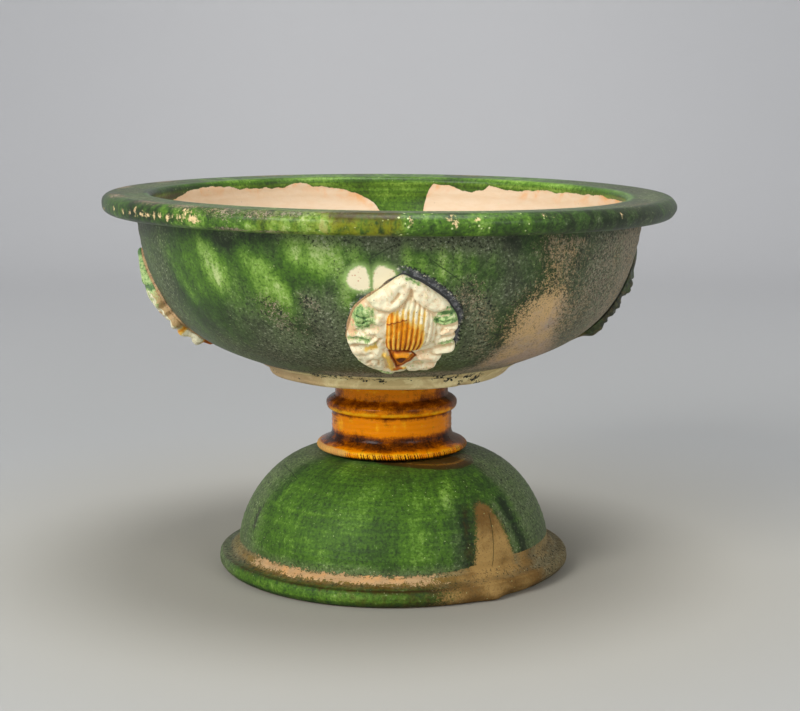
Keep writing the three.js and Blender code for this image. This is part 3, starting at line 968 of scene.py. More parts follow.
# The slip between bowl and disc. Soft clay squeezed out all round when the bowl was
# pressed down on the disc, wiped to a fillet and glazed with the disc.
fillet_section = np.array(
    [
        (50.0, 93.2), (54.0, 93.15), (55.6, 93.1), (56.1, 92.5), (56.8, 92.4), (57.8, 92.9),
        (58.8, 93.5), (59.5, 93.95), (59.4, 94.15), (57.0, 94.13), (53.0, 94.1), (50.0, 94.1),
    ]
)
fillet = Turned(fillet_section, 400)
squeezed = fade(fillet.radius, 55, 56.5) * waves(fillet.turn, fillet.along, 63, (4, 26), 1e6)
fillet.radius = fillet.radius + 0.18 * squeezed
fillet_piece = fillet.piece("slip_fillet_under_bowl", "clay_slip", "slip_bowl_to_disc")
up_fillet = fillet.height - disc_bottom
fillet.measure(up_fillet)
green = stained(fillet) + 0.3 * fade(up_fillet, 6.0, 6.6)
rusty = fade(fillet.turn, -26, -60) + 0.8 * fade(fillet.turn, 46, 76)
paint(fillet_piece, pits=pitted(fillet), green=green, rusty=rusty)
fillet_piece.data.materials.append(straw_glaze)

# The stem. Turned in one with its bead and its bottom ledge, hollow inside, and dipped in
# amber glaze that thins to gold on the edges and pools dark brown in the hollows. The
# lower edge of the ledge was nicked all round where it was trimmed free. The same gold is
# laid on as painted highlight, and the same brown as painted shade in recesses and sides.
stem_low, stem_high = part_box("stem")
stem_bottom = stem_low.z / MM
stem_top = stem_high.z / MM
stem_offset = 1.0
stem_bore = 17.0
neck_radius = 26.6
upper_neck_radius = 25.0
ledge_radius = 33.4
ledge_round = 1.5
bead_radius = 29.0
bead_middle = stem_top - 12.9
bead_half = 3.0
collar_radius = 25.8
bead_lower = sweep(
    (neck_radius, bead_middle - bead_half - 0.4),
    (neck_radius + 0.2, bead_middle - bead_half + 0.3),
    (bead_radius, bead_middle - bead_half - 0.2),
    (bead_radius, bead_middle + 0.1),
    12,
)
bead_upper = sweep(
    (bead_radius, bead_middle + 0.1),
    (bead_radius, bead_middle + 2.0),
    (upper_neck_radius + 1.6, bead_middle + 2.6),
    (upper_neck_radius, bead_middle + bead_half + 0.6),
    14,
)
stem_section = np.vstack(
    [
        straight((stem_bore, stem_bottom), (ledge_radius - ledge_round, stem_bottom), 8),
        roll((ledge_radius - ledge_round, stem_bottom + ledge_round), ledge_round, -90, 62, 14),
        sweep(
            (ledge_radius - 0.8, stem_bottom + 2.9),
            (ledge_radius - 3.4, stem_bottom + 4.3),
            (neck_radius + 0.2, stem_bottom + 4.4),
            (neck_radius, stem_bottom + 8.4),
            16,
        ),
        straight((neck_radius, stem_bottom + 8.4), (neck_radius, bead_middle - bead_half - 0.4), 14),
        bead_lower,
        bead_upper,
        sweep(
            (upper_neck_radius, bead_middle + bead_half + 0.6),
            (upper_neck_radius - 0.2, bead_middle + bead_half + 2.6),
            (upper_neck_radius - 0.1, stem_top - 4.2),
            (collar_radius, stem_top - 2.4),
            12,
        ),
        straight((collar_radius, stem_top - 2.4), (collar_radius, stem_top), 4),
        straight((collar_radius, stem_top), (stem_bore, stem_top), 4),
        straight((stem_bore, stem_top), (stem_bore, stem_bottom), 10),
    ]
)
stem = Turned(stem_section, 720, stem_offset)
up_stem = stem.height - stem_bottom
showing = fade(stem.radius, 20, 24)
neck_rings = 0.10 * np.sin(up_stem * 2.6) * span(up_stem, 8, 9, 16, 17)
stem.radius = stem.radius + showing * (neck_rings + 0.18 * waves(stem.turn, stem.along, 71, (2, 5), 30))
# The nicks: narrow cuts at uneven spaces round the lower edge of the ledge.
nick_draw = np.random.default_rng(72)
nick_count = 190
nick_places = np.arange(nick_count) + nick_draw.uniform(-0.35, 0.35, nick_count)
nick_turns = nick_places * 360 / nick_count - 180
nick_depths = nick_draw.uniform(0.3, 0.75, nick_count)
nick_widths = nick_draw.uniform(0.3, 0.5, nick_count)
nick_slant = 0.5
nicked = np.zeros(stem.turn.shape)
for angle, cut, width in zip(nick_turns, nick_depths, nick_widths):
    gap = abs((stem.turn + nick_slant * up_stem - angle + 180) % 360 - 180)
    nicked = np.maximum(nicked, cut * swell(gap, 0, width))
low_edge = fade(up_stem, 3.2, 1.6) * fade(stem.radius, 30, 32)
stem.radius = stem.radius - nicked * low_edge
stem_piece = stem.piece("amber_stem", "amber_glaze", "stem")


def belts(value, rows):
    """The sum of belts round a piece, given as (level, reach, strength)."""
    return sum(strength * swell(value, level, reach) for level, reach, strength in rows)


# Belts of glaze pooled dark above and under the bead and round the foot of the neck, also standing as painted
# shade in these recesses.
pool_belts = [
    (23.2, 1.8, 0.64), (17.0, 0.8, 0.62), (7.2, 2.0, 0.90), (29.8, 0.5, 0.2), (33.4, 0.8, 0.4),
    (0.2, 0.6, 0.8), (20.6, 1.5, 0.44), (26.4, 1.8, 0.2), (4.6, 1.5, 0.62),
]
# Belts of thin gold glaze on the bead and the ledge, also standing as painted highlight.
gold_belts = [
    (18.8, 1.2, 0.9), (2.7, 0.8, 0.8), (1.2, 0.8, 0.7), (31.2, 1.0, 0.7), (28.6, 0.7, 0.5),
    (13.0, 3.4, 0.35),
]
turn = stem.turn
pooled = 0.10 * waves(turn, stem.along, 73, (3, 18), 12) + belts(up_stem, pool_belts)
pooled = pooled + 0.25 * fade(up_stem, 22, 25) * span(turn, 10, 50, 130, 175)
pooled = pooled + 1.1 * low_edge * fade(nicked, 0.15, 0.5)
pooled = pooled + 0.14 * np.sin(up_stem * 5.2) * span(up_stem, 8, 9, 16, 17)
# Painted shade: darker towards both sides of the stem.
pooled = pooled + 0.24 * span(abs(turn), 44, 76, 110, 140)
gold = 0.16 * waves(turn, stem.along, 74, (6, 40), 200) + belts(up_stem, gold_belts)
gold = gold - 0.2 * span(turn, -20, 30, 130, 175)
# Grey film and painted sheen towards both sides of the stem.
film = span(turn, 48, 82, 110, 140) + 0.5 * span(turn, -140, -120, -86, -62)
clay_shows = span(turn, -120, -90, -48, -22) * fade(up_stem, 4.0, 2.6) * fade(stem.radius, 30, 32)
paint(stem_piece, pooled=pooled, gold=gold, film=film, clay_shows=clay_shows)

AMBER = tone(230, 134, 0)
GOLD = tone(246, 184, 30)
BROWN = tone(44, 20, 6)
RED_BROWN = tone(138, 68, 0)
GREY_BROWN = tone(110, 88, 66)
THIN_CLAY = tone(204, 158, 92)


def amber_glaze(name):
    """Amber lead glaze: gold where it is thin on an edge, brown where it has pooled, both also laid on as
    painted highlight and shade.
    """
    coat = Finish(name, shine=0.10)
    rings = coat.grain(5, 4, 0.6, coat.flow(0.35))
    sand = coat.grain(0.6, 4, 0.7)
    clouds = coat.grain(6, 4, 0.6, twist=0.5)
    smudges = coat.grain(2.4, 3, 0.6, coat.flow(2.5))
    # Gold where the glaze is thin, and as painted highlight.
    thin = coat.ragged("gold", (rings, 1.0), (smudges, 1.4))
    colour = coat.over(AMBER, GOLD, coat.step(thin, 0.25, 1.0))
    # Red-brown to dark brown where the glaze pooled, and as painted shade.
    thick = coat.ragged("pooled", (rings, 0.9), (smudges, 0.7), (sand, 0.8))
    colour = coat.over(colour, RED_BROWN, coat.step(thick, 0.10, 0.7))
    colour = coat.over(colour, BROWN, coat.step(thick, 0.5, 1.1))
    # Grey film, also laid on as painted sheen.
    grey = coat.step(coat.ragged("film", (sand, 0.9)), 0.25, 1.2)
    colour = coat.over(colour, GREY_BROWN, coat.times(grey, 0.75))
    clay = coat.step(coat.ragged("clay_shows", (sand, 0.9)), 0.4, 0.8)
    colour = coat.over(colour, THIN_CLAY, coat.times(clay, 0.75))
    coat.bump(sand, 0.05)
    coat.bump(clouds, 0.3)
    roughness = coat.between(0.15, 0.5, coat.math("MAXIMUM", grey, clay))
    return coat.done(colour, roughness)


stem_piece.data.materials.append(amber_glaze("amber_glaze_on_stem"))

# The foot. Thrown as an open dome with a rounded lip, hollow below. It is dipped in
# green glaze and wiped bare along the ring above the lip, and the glaze has run short in
# one tall streak at the right, where the clay and a thin ochre wash show.
foot_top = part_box("foot_dome")[1].z / MM
foot_offset = 1.8
dome_radius = 69.0
dome_top_radius = 30.0
dome_wall = 6.0
ring_height = 11.5
ring_radius = 71.4
channel_radius = 74.2
channel_height = 6.9
lip_radius = 77.7
lip_round = 4.4
stand_radius = 65.0
dome_rise = foot_top - ring_height
dome_outside = sweep(
    (dome_radius, ring_height),
    (dome_radius, ring_height + 0.37 * dome_rise),
    (dome_top_radius + 0.63 * (dome_radius - dome_top_radius), foot_top),
    (dome_top_radius, foot_top),
    84,
)
dome_inside = inward(dome_outside, dome_wall)
dome_inside = dome_inside[dome_inside[:, 0] > stem_bore + dome_wall][::-1]
foot_section = np.vstack(
    [
        straight((stand_radius, 0), (lip_radius - lip_round, 0), 5),
        roll((lip_radius - lip_round, lip_round), lip_round, -90, 36, 20),
        sweep(
            (lip_radius - lip_round + 3.6, lip_round + 2.6),
            (lip_radius - lip_round + 2.6, lip_round + 3.6),
            (channel_radius - 0.4, channel_height + 0.7),
            (ring_radius + 1.4, channel_height + 1.4),
            8,
        ),
        sweep(
            (ring_radius + 1.4, channel_height + 1.4),
            (ring_radius + 0.8, channel_height + 1.8),
            (ring_radius + 0.2, ring_height - 2.4),
            (ring_radius - 0.2, ring_height - 1.6),
            6,
        ),
        sweep(
            (ring_radius - 0.2, ring_height - 1.6),
            (ring_radius - 0.8, ring_height - 0.7),
            (dome_radius + 0.3, ring_height - 0.6),
            (dome_radius, ring_height),
            6,
        ),
        dome_outside,
        straight((dome_top_radius, foot_top), (stem_bore, foot_top), 6),
        straight((stem_bore, foot_top), (stem_bore, foot_top - dome_wall), 3),
        dome_inside[::3],
        sweep(
            (stand_radius - 2, ring_height - 1),
            (stand_radius - 1.6, ring_height / 2),
            (stand_radius - 1.2, 2),
            (stand_radius - 0.6, 0.5),
            5,
        ),
    ]
)
foot = Turned(foot_section, 500, foot_offset)
turn = foot.turn
up = foot.along - foot.along_at(dome_outside[0])
on_dome = (up >= 0) & (foot.along <= foot.along_at((dome_top_radius, foot_top)))
outer = fade(foot.radius, 24, 40) * (foot.along < foot.along_at((stem_bore, foot_top)))
lathe_lines = 0.07 * np.sin(foot.along * 1.9) + 0.05 * np.sin(foot.along * 3.7 + 1)
foot.radius = foot.radius + outer * (0.25 * waves(turn, foot.along, 81, (2, 6), 50) + lathe_lines)
lip_low = fade(foot.height, 5.0, 1.0) * fade(foot.radius, 70, 72)
lip_lump = swell(turn, 33.5, 3.4) * lip_low
lip_lost = span(turn, 35, 41, 60, 84) * lip_low
foot.radius = foot.radius + 1.7 * lip_lump - 1.3 * lip_lost
foot_piece = foot.piece("glazed_foot", "green_glaze", "foot_dome")
FOOT_DEGREE = 1.15
foot.measure(up, FOOT_DEGREE)

light = 0.34 + 0.04 * waves(turn, up, 91, (4, 20), 90) + 0.025 * waves(turn, up, 92, (40, 110), 70)
# Where the fingers left lines round the dome, as their height and strength.
throwing_lines = [(17.5, 0.10), (24.2, 0.10), (27.6, 0.06), (34.0, 0.08), (12.5, 0.05), (42.0, 0.05)]
drift = 0.5 * waves(turn, up, 94, (1, 4), 1e6)
for high, strength in throwing_lines:
    light = light + strength * swell(up - drift, high, 0.5)
foot_runs = [
    ([(-30, 8), (-28, 3)], 6.0, 0.14),
    ([(-14, 22), (-10, 36)], 8.0, 0.10),
    ([(8, 10), (10, 34)], 5.0, 0.10),
    ([(23, 30), (23.5, 36)], 2.4, 0.22),
    ([(27, 38), (30, 46)], 1.6, 0.16),
    ([(-55, 26), (-54, 34)], 1.6, 0.16),
    ([(-62, 8), (-60, 20)], 5.0, 0.08),
    ([(-25, 48), (-30, 54)], 6.0, 0.16),
    ([(18, 3), (16, 18)], 3.0, -0.08),
    ([(51.5, 26), (51.5, 18), (54.8, 3)], 3.2, -0.42),
    ([(29.5, 26), (27.5, 14), (27.0, 2)], 4.4, -0.34),
    ([(22, 26), (22.4, 2)], 3.0, -0.06),
    ([(52, 36), (58, 44)], 5.0, -0.12),
    ([(-65.4, 19), (-64.8, 12)], 1.2, -0.5),
    ([(140, 10), (150, 44)], 7.0, 0.2),
    ([(-120, 8), (-130, 40)], 8.0, 0.18),
]
light = light + foot.streaks(foot_runs)
# Painted highlight on the lip's crest, where the glaze also lies paler, and painted shade under the lip.
lip_crest = span(-up, 9.2, 11, 13.0, 15.0) * (foot.radius > 70)
below_crest = fade(-up, 13.5, 16) * (foot.radius > 60)
light = light + 0.10 * lip_crest * span(turn, -80, -50, 130, 175)
light = light - 0.16 * below_crest - 0.12 * fade(-up, 3, 5) * (-up < 9.2)
light = light - 0.03 * fade(up, 30, 44)

film = 0.7 * fade(up, 7, 0) * span(turn, -80, -40, 16, 30) * (up > -1)
film = film + 0.3 * foot.streak([(24, 30), (24, 16), (24.5, 0)], 3.6)
film = film + 0.6 * foot.streak([(46, 26), (49, 12), (50, 0)], 2.6)
# Grey film and painted sheen towards both sides of the dome.
film = film + 0.8 * span(turn, 50, 62, 100, 125) + 0.7 * span(turn, -125, -100, -72, -52)
film = film + 0.25 * fade(up, 50, 58) * fade(turn, -5, -20)
film = film + 0.3 * span(foot.radius, 71, 72.5, 74, 76) * (up < 0)

run_short = [
    (39.4, 29.0), (35.8, 27.4), (33.6, 20), (31.6, 11), (30.2, 3), (29, -4), (50, -4), (48.6, 2),
    (46.8, 9.8), (45.2, 18), (43.2, 26),
]
worn = np.clip(foot.inside(run_short) * 5, unworn, 16)
worn = wear(worn, 23, foot.streak([(46, 22), (48, 2)], 2.6) * (up > 0))
worn = wear(worn, 17, span(turn, 54, 76, 100, 130) * fade(up, 34, 2))
lip_worn = span(turn, -22, 48, 118, 150)
worn = wear(worn, 44, lip_worn * (up < 1.5 + 2.0 * fade(turn, 20, 40)))
at_ring = span(up, -7.6, -4.4, 0.2, 2.0) * span(turn, -120, -90, 130, 170)
worn = wear(worn, 27, at_ring * (foot.radius > 60))
worn = np.where(foot.along > foot.along_at((dome_top_radius, foot_top)) + 20, 9, worn)
worn = np.where(foot.height < 0.6, 9, worn)
dull = 1.1 * fade(up, 8, 26) + 0.25 * (up < 0) + 0.25 * waves(turn, up, 96, (8, 30), 12)
dull = dull + 0.36 * span(-up, 3.0, 5, 9, 11) + 0.5 * fade(turn, 44, 60) + 0.3 * (up < -9)
paint(foot_piece, light=light, film=film, worn=worn, dull=dull)
ring_bare = np.minimum(up + 3.5, 0.0 - up) + 0.25 * waves(turn, up, 95, (8, 40), 1e6)
bare_stretches = 2.0 - 4.6 * fade(turn, -46, -70) - 5.0 * fade(turn, -4, 36)
ring_bare = np.minimum(ring_bare, bare_stretches + 4.0 * swell(turn, -132, 18))
bare = np.where(foot.radius > 60, ring_bare, -FAR)
paint(foot_piece, bare=np.clip(bare, -FAR, FAR), scuffed=abs(up) < 8)
paint(foot_piece, cream=np.full(turn.shape, -FAR), calm=np.full(turn.shape, 0.85))
paint(foot_piece, mottled=0.30 + 0.35 * (up < 0))

# Amber glaze from the stem has pooled round the top of the dome, more at the right, and a
# painted shadow under the stem's ledge darkens it.
pool = [
    (-14, 62), (-8, 59.6), (4, 57.4), (16, 54.6), (30, 51.4), (44, 50.0), (58, 51.4), (68, 56),
    (70, 62), (30, 64),
]
in_pool = foot.inside(pool)
channel_brown = 0.42 * span(-up, 2.6, 4.4, 8.0, 10.5) * (foot.radius > 70)
beside_streak = foot.streak([(31.0, 26), (28.4, 14), (27.4, 1)], 3.6)
lip_brown = (0.28 + 0.3 * span(turn, -30, 12, 40, 60)) * (up < -8) * (foot.radius > 70)
# Dark at the pool's outline, and darkest towards the ledge: a painted contact shadow.
pool_line = 0.42 + 0.9 * fade(in_pool, 2.6, 1.0) + 0.8 * fade(in_pool, 3.2, 6.0)
pool_line = pool_line * fade(in_pool, -2.4, -0.6) * on_dome
brown = 1.3 * pool_line + channel_brown + 0.46 * beside_streak * (up > 0) + lip_brown
soot = 0.12 * span(turn, 16, 30, 55, 78) * (up < 1) + 0.2 * (abs(up + 4) < 4)
amber = 1.5 * fade(in_pool, -0.2, 1.0) * fade(turn, 74, 56) * on_dome
amber = amber + 0.8 * (up < 0) * fade(-up, 9, 3) * span(turn, -90, -70, 60, 90)
paint(foot_piece, brown=brown, soot=soot, amber=amber)
foot_cracks = [
    [(-80, 41.6), (-63.5, 40.7), (-52.2, 38.3)],
    [(-46.8, 39), (-46.5, 45)],
    [(41.5, 24), (39, 10), (37.2, 0)],
]
paint_cracks(foot_piece, foot, foot_cracks)

FOOT_AMBER = tone(172, 118, 34)
OCHRE = tone(176, 142, 84)
DARK_OCHRE = tone(118, 88, 44)
DIRTY_PEACH = tone(198, 164, 120)
BROWNED_PEACH = tone(160, 124, 82)
foot_coat = green_glaze(
    "green_glaze_on_foot",
    amber_colour=FOOT_AMBER,
    worn_tones=(OCHRE, DARK_OCHRE),
    clay_tones=(DIRTY_PEACH, BROWNED_PEACH),
    crumble=0.55,
    shine=0.16,
    smooth=0.55,
)
foot_piece.data.materials.append(foot_coat)

# The medallions. Pressed from one mould in pale clay: a ribbed fan under two leaf lobes,
# a bud below it and curled leaves round the sides. They are stuck on with slip a quarter
# turn apart, dabbed with cream, amber and green glaze, and the glazes have run together.
MOULD_EDGE = [
    (-0.9, 27.9), (-6.8, 23.9), (-12.6, 19.4), (-16.4, 16.3), (-19.2, 12.2), (-20.6, 6.3),
    (-21.6, 0.8), (-20.8, -4.1), (-18.9, -9.8), (-15.8, -15.3), (-9.9, -21.3), (-4.5, -25.4),
    (0.8, -25.6), (3.4, -22.4), (7.6, -20.4), (11.9, -20.6), (14.4, -17.4), (14.9, -13.6),
    (17.0, -9.6), (20.4, -6.4), (20.9, -3.6), (19.6, -1.2), (20.8, 1.0), (19.8, 3.0),
    (21.6, 6.3), (20.7, 11.0), (18.6, 14.2), (16.6, 17.2), (12.2, 20.8), (7.4, 24.3), (3.6, 26.2),
]


def spread_out(shares, edge):
    """Rings of points from the mould's middle out to an edge: across, up and their share."""
    rings = mould_middle + shares[:, None, None] * (edge - mould_middle)
    return *rings.reshape(-1, 2).T, np.repeat(shares, len(edge))


mould_edge = rounded(MOULD_EDGE, 460)
mould_middle = np.array([0.0, 1.0])
edge_belt = 0.93
edge_shares = edge_belt + (1 - edge_belt) * np.sin(np.linspace(0.14, math.pi / 2, 11))
share = np.concatenate([np.linspace(0.012, edge_belt, 86), edge_shares])
across, up, share_of = spread_out(share, mould_edge)


def pillow(outline, height, edge):
    """A form with a flat top and rounded sides, standing on the ground of the mould."""
    deep = np.clip(inside(across, up, rounded(outline, 60)) / edge, 0, 1)
    return height * (1 - (1 - deep) ** 2)


def ridge(path, width, height):
    """A rounded ridge or, with a height under 0, a groove, along a path."""
    distance, _, _ = to_path(across, up, path)
    return height * swell(distance, 0, width)


def ridges(rows):
    """The highest of some ridges, given as (path, width, height)."""
    return np.maximum.reduce([ridge(*row) for row in rows])


def rounded_rim(share_of, begins):
    """1 over the front, rounding down to 0 from a share of the way out to the edge."""
    past = ((share_of - begins) / (1 - begins)).clip(0, 1)
    return np.sqrt(np.clip(1 - past**2, 0, 1))



# The lobes' outer points lie past the mould's edge, so that the lobes run out to it.
left_lobe = [
    (5.0, 31.0), (-9.0, 28.0), (-16.0, 21.0), (-12.9, 16.6), (-10.6, 14.4), (-8.0, 13.3), (-5.2, 13.0),
    (-2.2, 14.6), (-0.2, 16.6), (1.3, 18.6), (2.2, 21.0), (3.6, 24.0),
]
right_lobe = [
    (-2.0, 31.0), (9.0, 28.0), (17.0, 21.5), (20.4, 15.4), (17.4, 14.2), (14.6, 13.0), (11.4, 12.9),
    (8.4, 14.2), (5.4, 16.2), (3.8, 17.8), (3.1, 20.2), (2.4, 22.0), (0.0, 24.0),
]
fan = [
    (2.6, 20.0), (-1.7, 14.6), (-4.6, 12.8), (-6.0, 10.9), (-6.7, 7.0), (-7.0, 3.0), (-7.0, -0.6),
    (-6.5, -3.6), (-4.8, -5.6), (-1.0, -6.2), (3.4, -6.3), (6.4, -5.4), (9.4, -3.6), (11.8, -0.6),
    (12.8, 3.6), (12.8, 7.6), (11.8, 11.0), (9.0, 14.6), (6.0, 17.6),
]
bud = [
    (-2.9, -6.9), (-0.3, -6.5), (3.0, -7.0), (3.5, -8.6), (2.6, -11.2), (0.4, -13.4), (-1.6, -13.0),
    (-3.0, -10.0),
]
ground = 0.5 + 0.25 * np.cos(across * 0.5) * np.cos(up * 0.45)
fan_body = pillow(fan, 1.9, 3.4)
# The fan's ribs draw together towards the bud: the first groove and the space between.
rib_first = np.interp(
    up, [-8, -5.5, -3.2, -1, 6.5, 13.4, 18], [-4.6, -5.4, -6.0, -6.3, -6.2, -6.4, -5.6]
)
rib_space = np.interp(up, [-8, -5.5, -3.2, -1, 6.5, 13.4], [1.4, 1.55, 1.74, 1.87, 1.96, 2.05])
rib = (across - rib_first) / rib_space
from_groove = abs(rib - np.round(rib))
groove = (1 - fade(from_groove, 0.05, 0.40)) * (fan_body > 0.2) * span(rib, -0.6, -0.2, 9.8, 10.4)
fan_body = fan_body - 0.62 * groove * fade(fan_body, 0.2, 1.0)
bud_mask = fade(inside(across, up, rounded(bud, 60)), 0.1, 0.7)
lens = swell(across, 0.3, 2.1) * swell(up, -10.3, 1.3)
bud_body = pillow(bud, 2.5, 1.9) - 1.6 * lens
# Each leaf as its outline, how high it stands and how wide its rounded side is.
leaf_pads = [
    (
        [
            (-18.9, 13.4), (-15.6, 14.6), (-12.6, 14.0), (-11.4, 10.6), (-12.0, 7.4), (-15.4, 6.4),
            (-18.4, 7.2),
        ],
        1.5,
        1.8,
    ),
    (
        [
            (-20.0, -4.6), (-16.0, -4.0), (-12.0, -4.8), (-8.4, -3.4), (-6.8, -6.4), (-6.4, -10.0),
            (-5.4, -15.0), (-5.8, -20.0), (-10.0, -20.6), (-15.0, -15.6), (-19.0, -9.6),
        ],
        1.7,
        3.2,
    ),
    ([(13.8, 3.0), (16.0, 5.6), (18.5, 6.7), (22.0, 6.8), (21.8, 4.2), (19.0, 2.6), (16.0, 1.8)], 1.6, 1.5),
    (
        [(12.8, 8.2), (14.4, 10.4), (17.5, 11.3), (21.6, 11.6), (21.6, 9.0), (18.6, 7.6), (15.0, 7.0)],
        1.6,
        1.3,
    ),
    (
        [(5.6, -10.4), (7.4, -8.8), (11.0, -8.2), (14.2, -8.6), (16.0, -10.2), (14.4, -12.9), (8.4, -13.2)],
        1.9,
        2.0,
    ),
    (
        [(2.0, -18.0), (4.4, -15.8), (8.0, -16.0), (11.4, -15.4), (14.4, -16.6), (13.6, -19.6), (4.0, -21.6)],
        1.6,
        1.8,
    ),
]
# Thin curled leaves and stems, as (path, width, height).
curls = [
    ([(-20.6, 2.4), (-16.7, 2.6), (-13.0, 1.4)], 1.1, 1.3),
    ([(-20.6, -1.6), (-16.4, -0.8), (-12.4, -1.4), (-10.2, 0.2)], 1.1, 1.3),
    ([(-12.8, 3.6), (-9.8, 3.8), (-8.2, 1.4)], 1.2, 1.1),
    ([(-12.0, 9.6), (-9.8, 8.4), (-8.6, 10.6)], 1.2, 1.3),
    ([(-9.0, -1.2), (-8.4, -4.0)], 1.2, 1.0),
    ([(-6.3, -8.2), (-5.0, -11.0), (-4.0, -14.8), (-3.6, -18.2)], 1.0, 1.7),
    ([(14.4, -0.6), (18.2, 0.4), (21.4, 0.0)], 1.1, 1.4),
    ([(15.2, -2.2), (18.4, -1.6), (21.0, -2.2)], 0.8, 1.1),
    ([(13.4, -7.0), (17.0, -5.9), (20.6, -4.8)], 1.5, 1.8),
    ([(-16.8, -14.0), (-12.6, -18.6), (-8.0, -22.4), (-3.4, -24.8)], 1.2, 1.3),
    ([(-2.6, -19.2), (0.8, -18.6)], 1.3, 1.5),
    ([(-8.6, -17.6), (-5.4, -19.6), (-2.4, -21.0)], 1.3, 1.3),
    ([(13.6, 6.0), (14.2, 2.0), (13.4, -2.6)], 0.9, 0.7),
]
leaves = np.maximum(pillow(left_lobe, 2.6, 2.6), pillow(right_lobe, 2.4, 2.6))
for outline, height, edge in leaf_pads:
    leaves = np.maximum(leaves, pillow(outline, height, edge))
leaves = np.maximum(leaves, ridges(curls))
# Folds and veins pressed into the leaves, as (path, width, height).
folds = [
    ([(-1.9, 21.2), (-2.9, 19.8), (-4.2, 18.1)], 0.75, -1.2),
    ([(1.4, 21.4), (-0.6, 18.0), (-3.2, 15.8), (-6.6, 14.8)], 1.0, 0.45),
    ([(-8.0, 21.0), (-11.5, 17.5)], 2.4, -0.4),
    ([(6.0, 21.0), (12.0, 17.0)], 2.0, -0.3),
    ([(-17.6, 11.6), (-14.6, 10.4), (-12.2, 11.4)], 0.55, -0.9),
    ([(-18.6, 8.6), (-15.4, 8.2), (-13.2, 9.4)], 0.5, -0.8),
    ([(-15.6, 13.0), (-14.6, 10.6), (-15.2, 8.0)], 0.45, -0.7),
    ([(13.4, 8.8), (15.8, 8.4), (17.4, 9.6), (20.9, 9.9)], 0.5, -0.9),
    ([(15.0, 4.2), (17.2, 5.3), (19.8, 5.0)], 0.5, -0.5),
    ([(-12.9, -12.9), (-11.7, -11.2), (-10.2, -10.7), (-8.7, -11.9), (-8.7, -14.6)], 0.6, -1.0),
    ([(-18.9, -3.6), (-16.4, -2.7), (-13.1, -3.1), (-10.4, -1.9), (-8.3, 0.7)], 0.7, -1.0),
    ([(-17.6, -8.2), (-14.0, -8.0), (-11.0, -7.2)], 0.8, -0.4),
    ([(-15.4, -14.0), (-11.0, -18.4), (-6.0, -21.8), (-1.0, -22.6)], 0.6, -0.7),
    ([(6.4, -7.7), (9.5, -7.2), (12.2, -5.9), (14.6, -4.2), (18.0, -3.2)], 0.9, -0.9),
    ([(5.4, -15.2), (8.6, -14.4), (11.4, -14.2), (13.9, -15.4)], 0.6, -0.9),
]
outlined = [
    [(-4.8, -6.2), (-2.9, -6.7), (0.4, -6.4), (3.4, -6.9), (5.4, -9.4)],
    [(-4.6, -6.6), (-3.7, -10.3), (-2.3, -14.3), (-1.6, -17.8)],
    [(5.4, -9.4), (3.8, -13.2), (0.9, -16.2), (-1.6, -17.8)],
]
bud_line = ridges([(path, 0.5, 0.85) for path in outlined])
rise = ground + np.maximum.reduce([fan_body, bud_body, leaves]) - 0.7 * bud_line
rise = rise + sum(ridge(*fold) for fold in folds)
mould_draw = np.random.default_rng(101)
for _ in range(16):
    lean = mould_draw.uniform(0, 6.28)
    length = mould_draw.uniform(2.2, 7)
    wave = (across * math.cos(lean) + up * math.sin(lean)) * 6.28 / length
    rise = rise + 0.035 * np.cos(wave + mould_draw.uniform(0, 6.28))
MOULD_BACK = 0.7


def standing(rise):
    """How far the mould's relief stands off the wall, thinning to its rounded edge."""
    return MOULD_BACK + (1.3 + 0.95 * rise) * (0.12 + 0.88 * rounded_rim(share_of, 0.9))


proud = standing(rise)

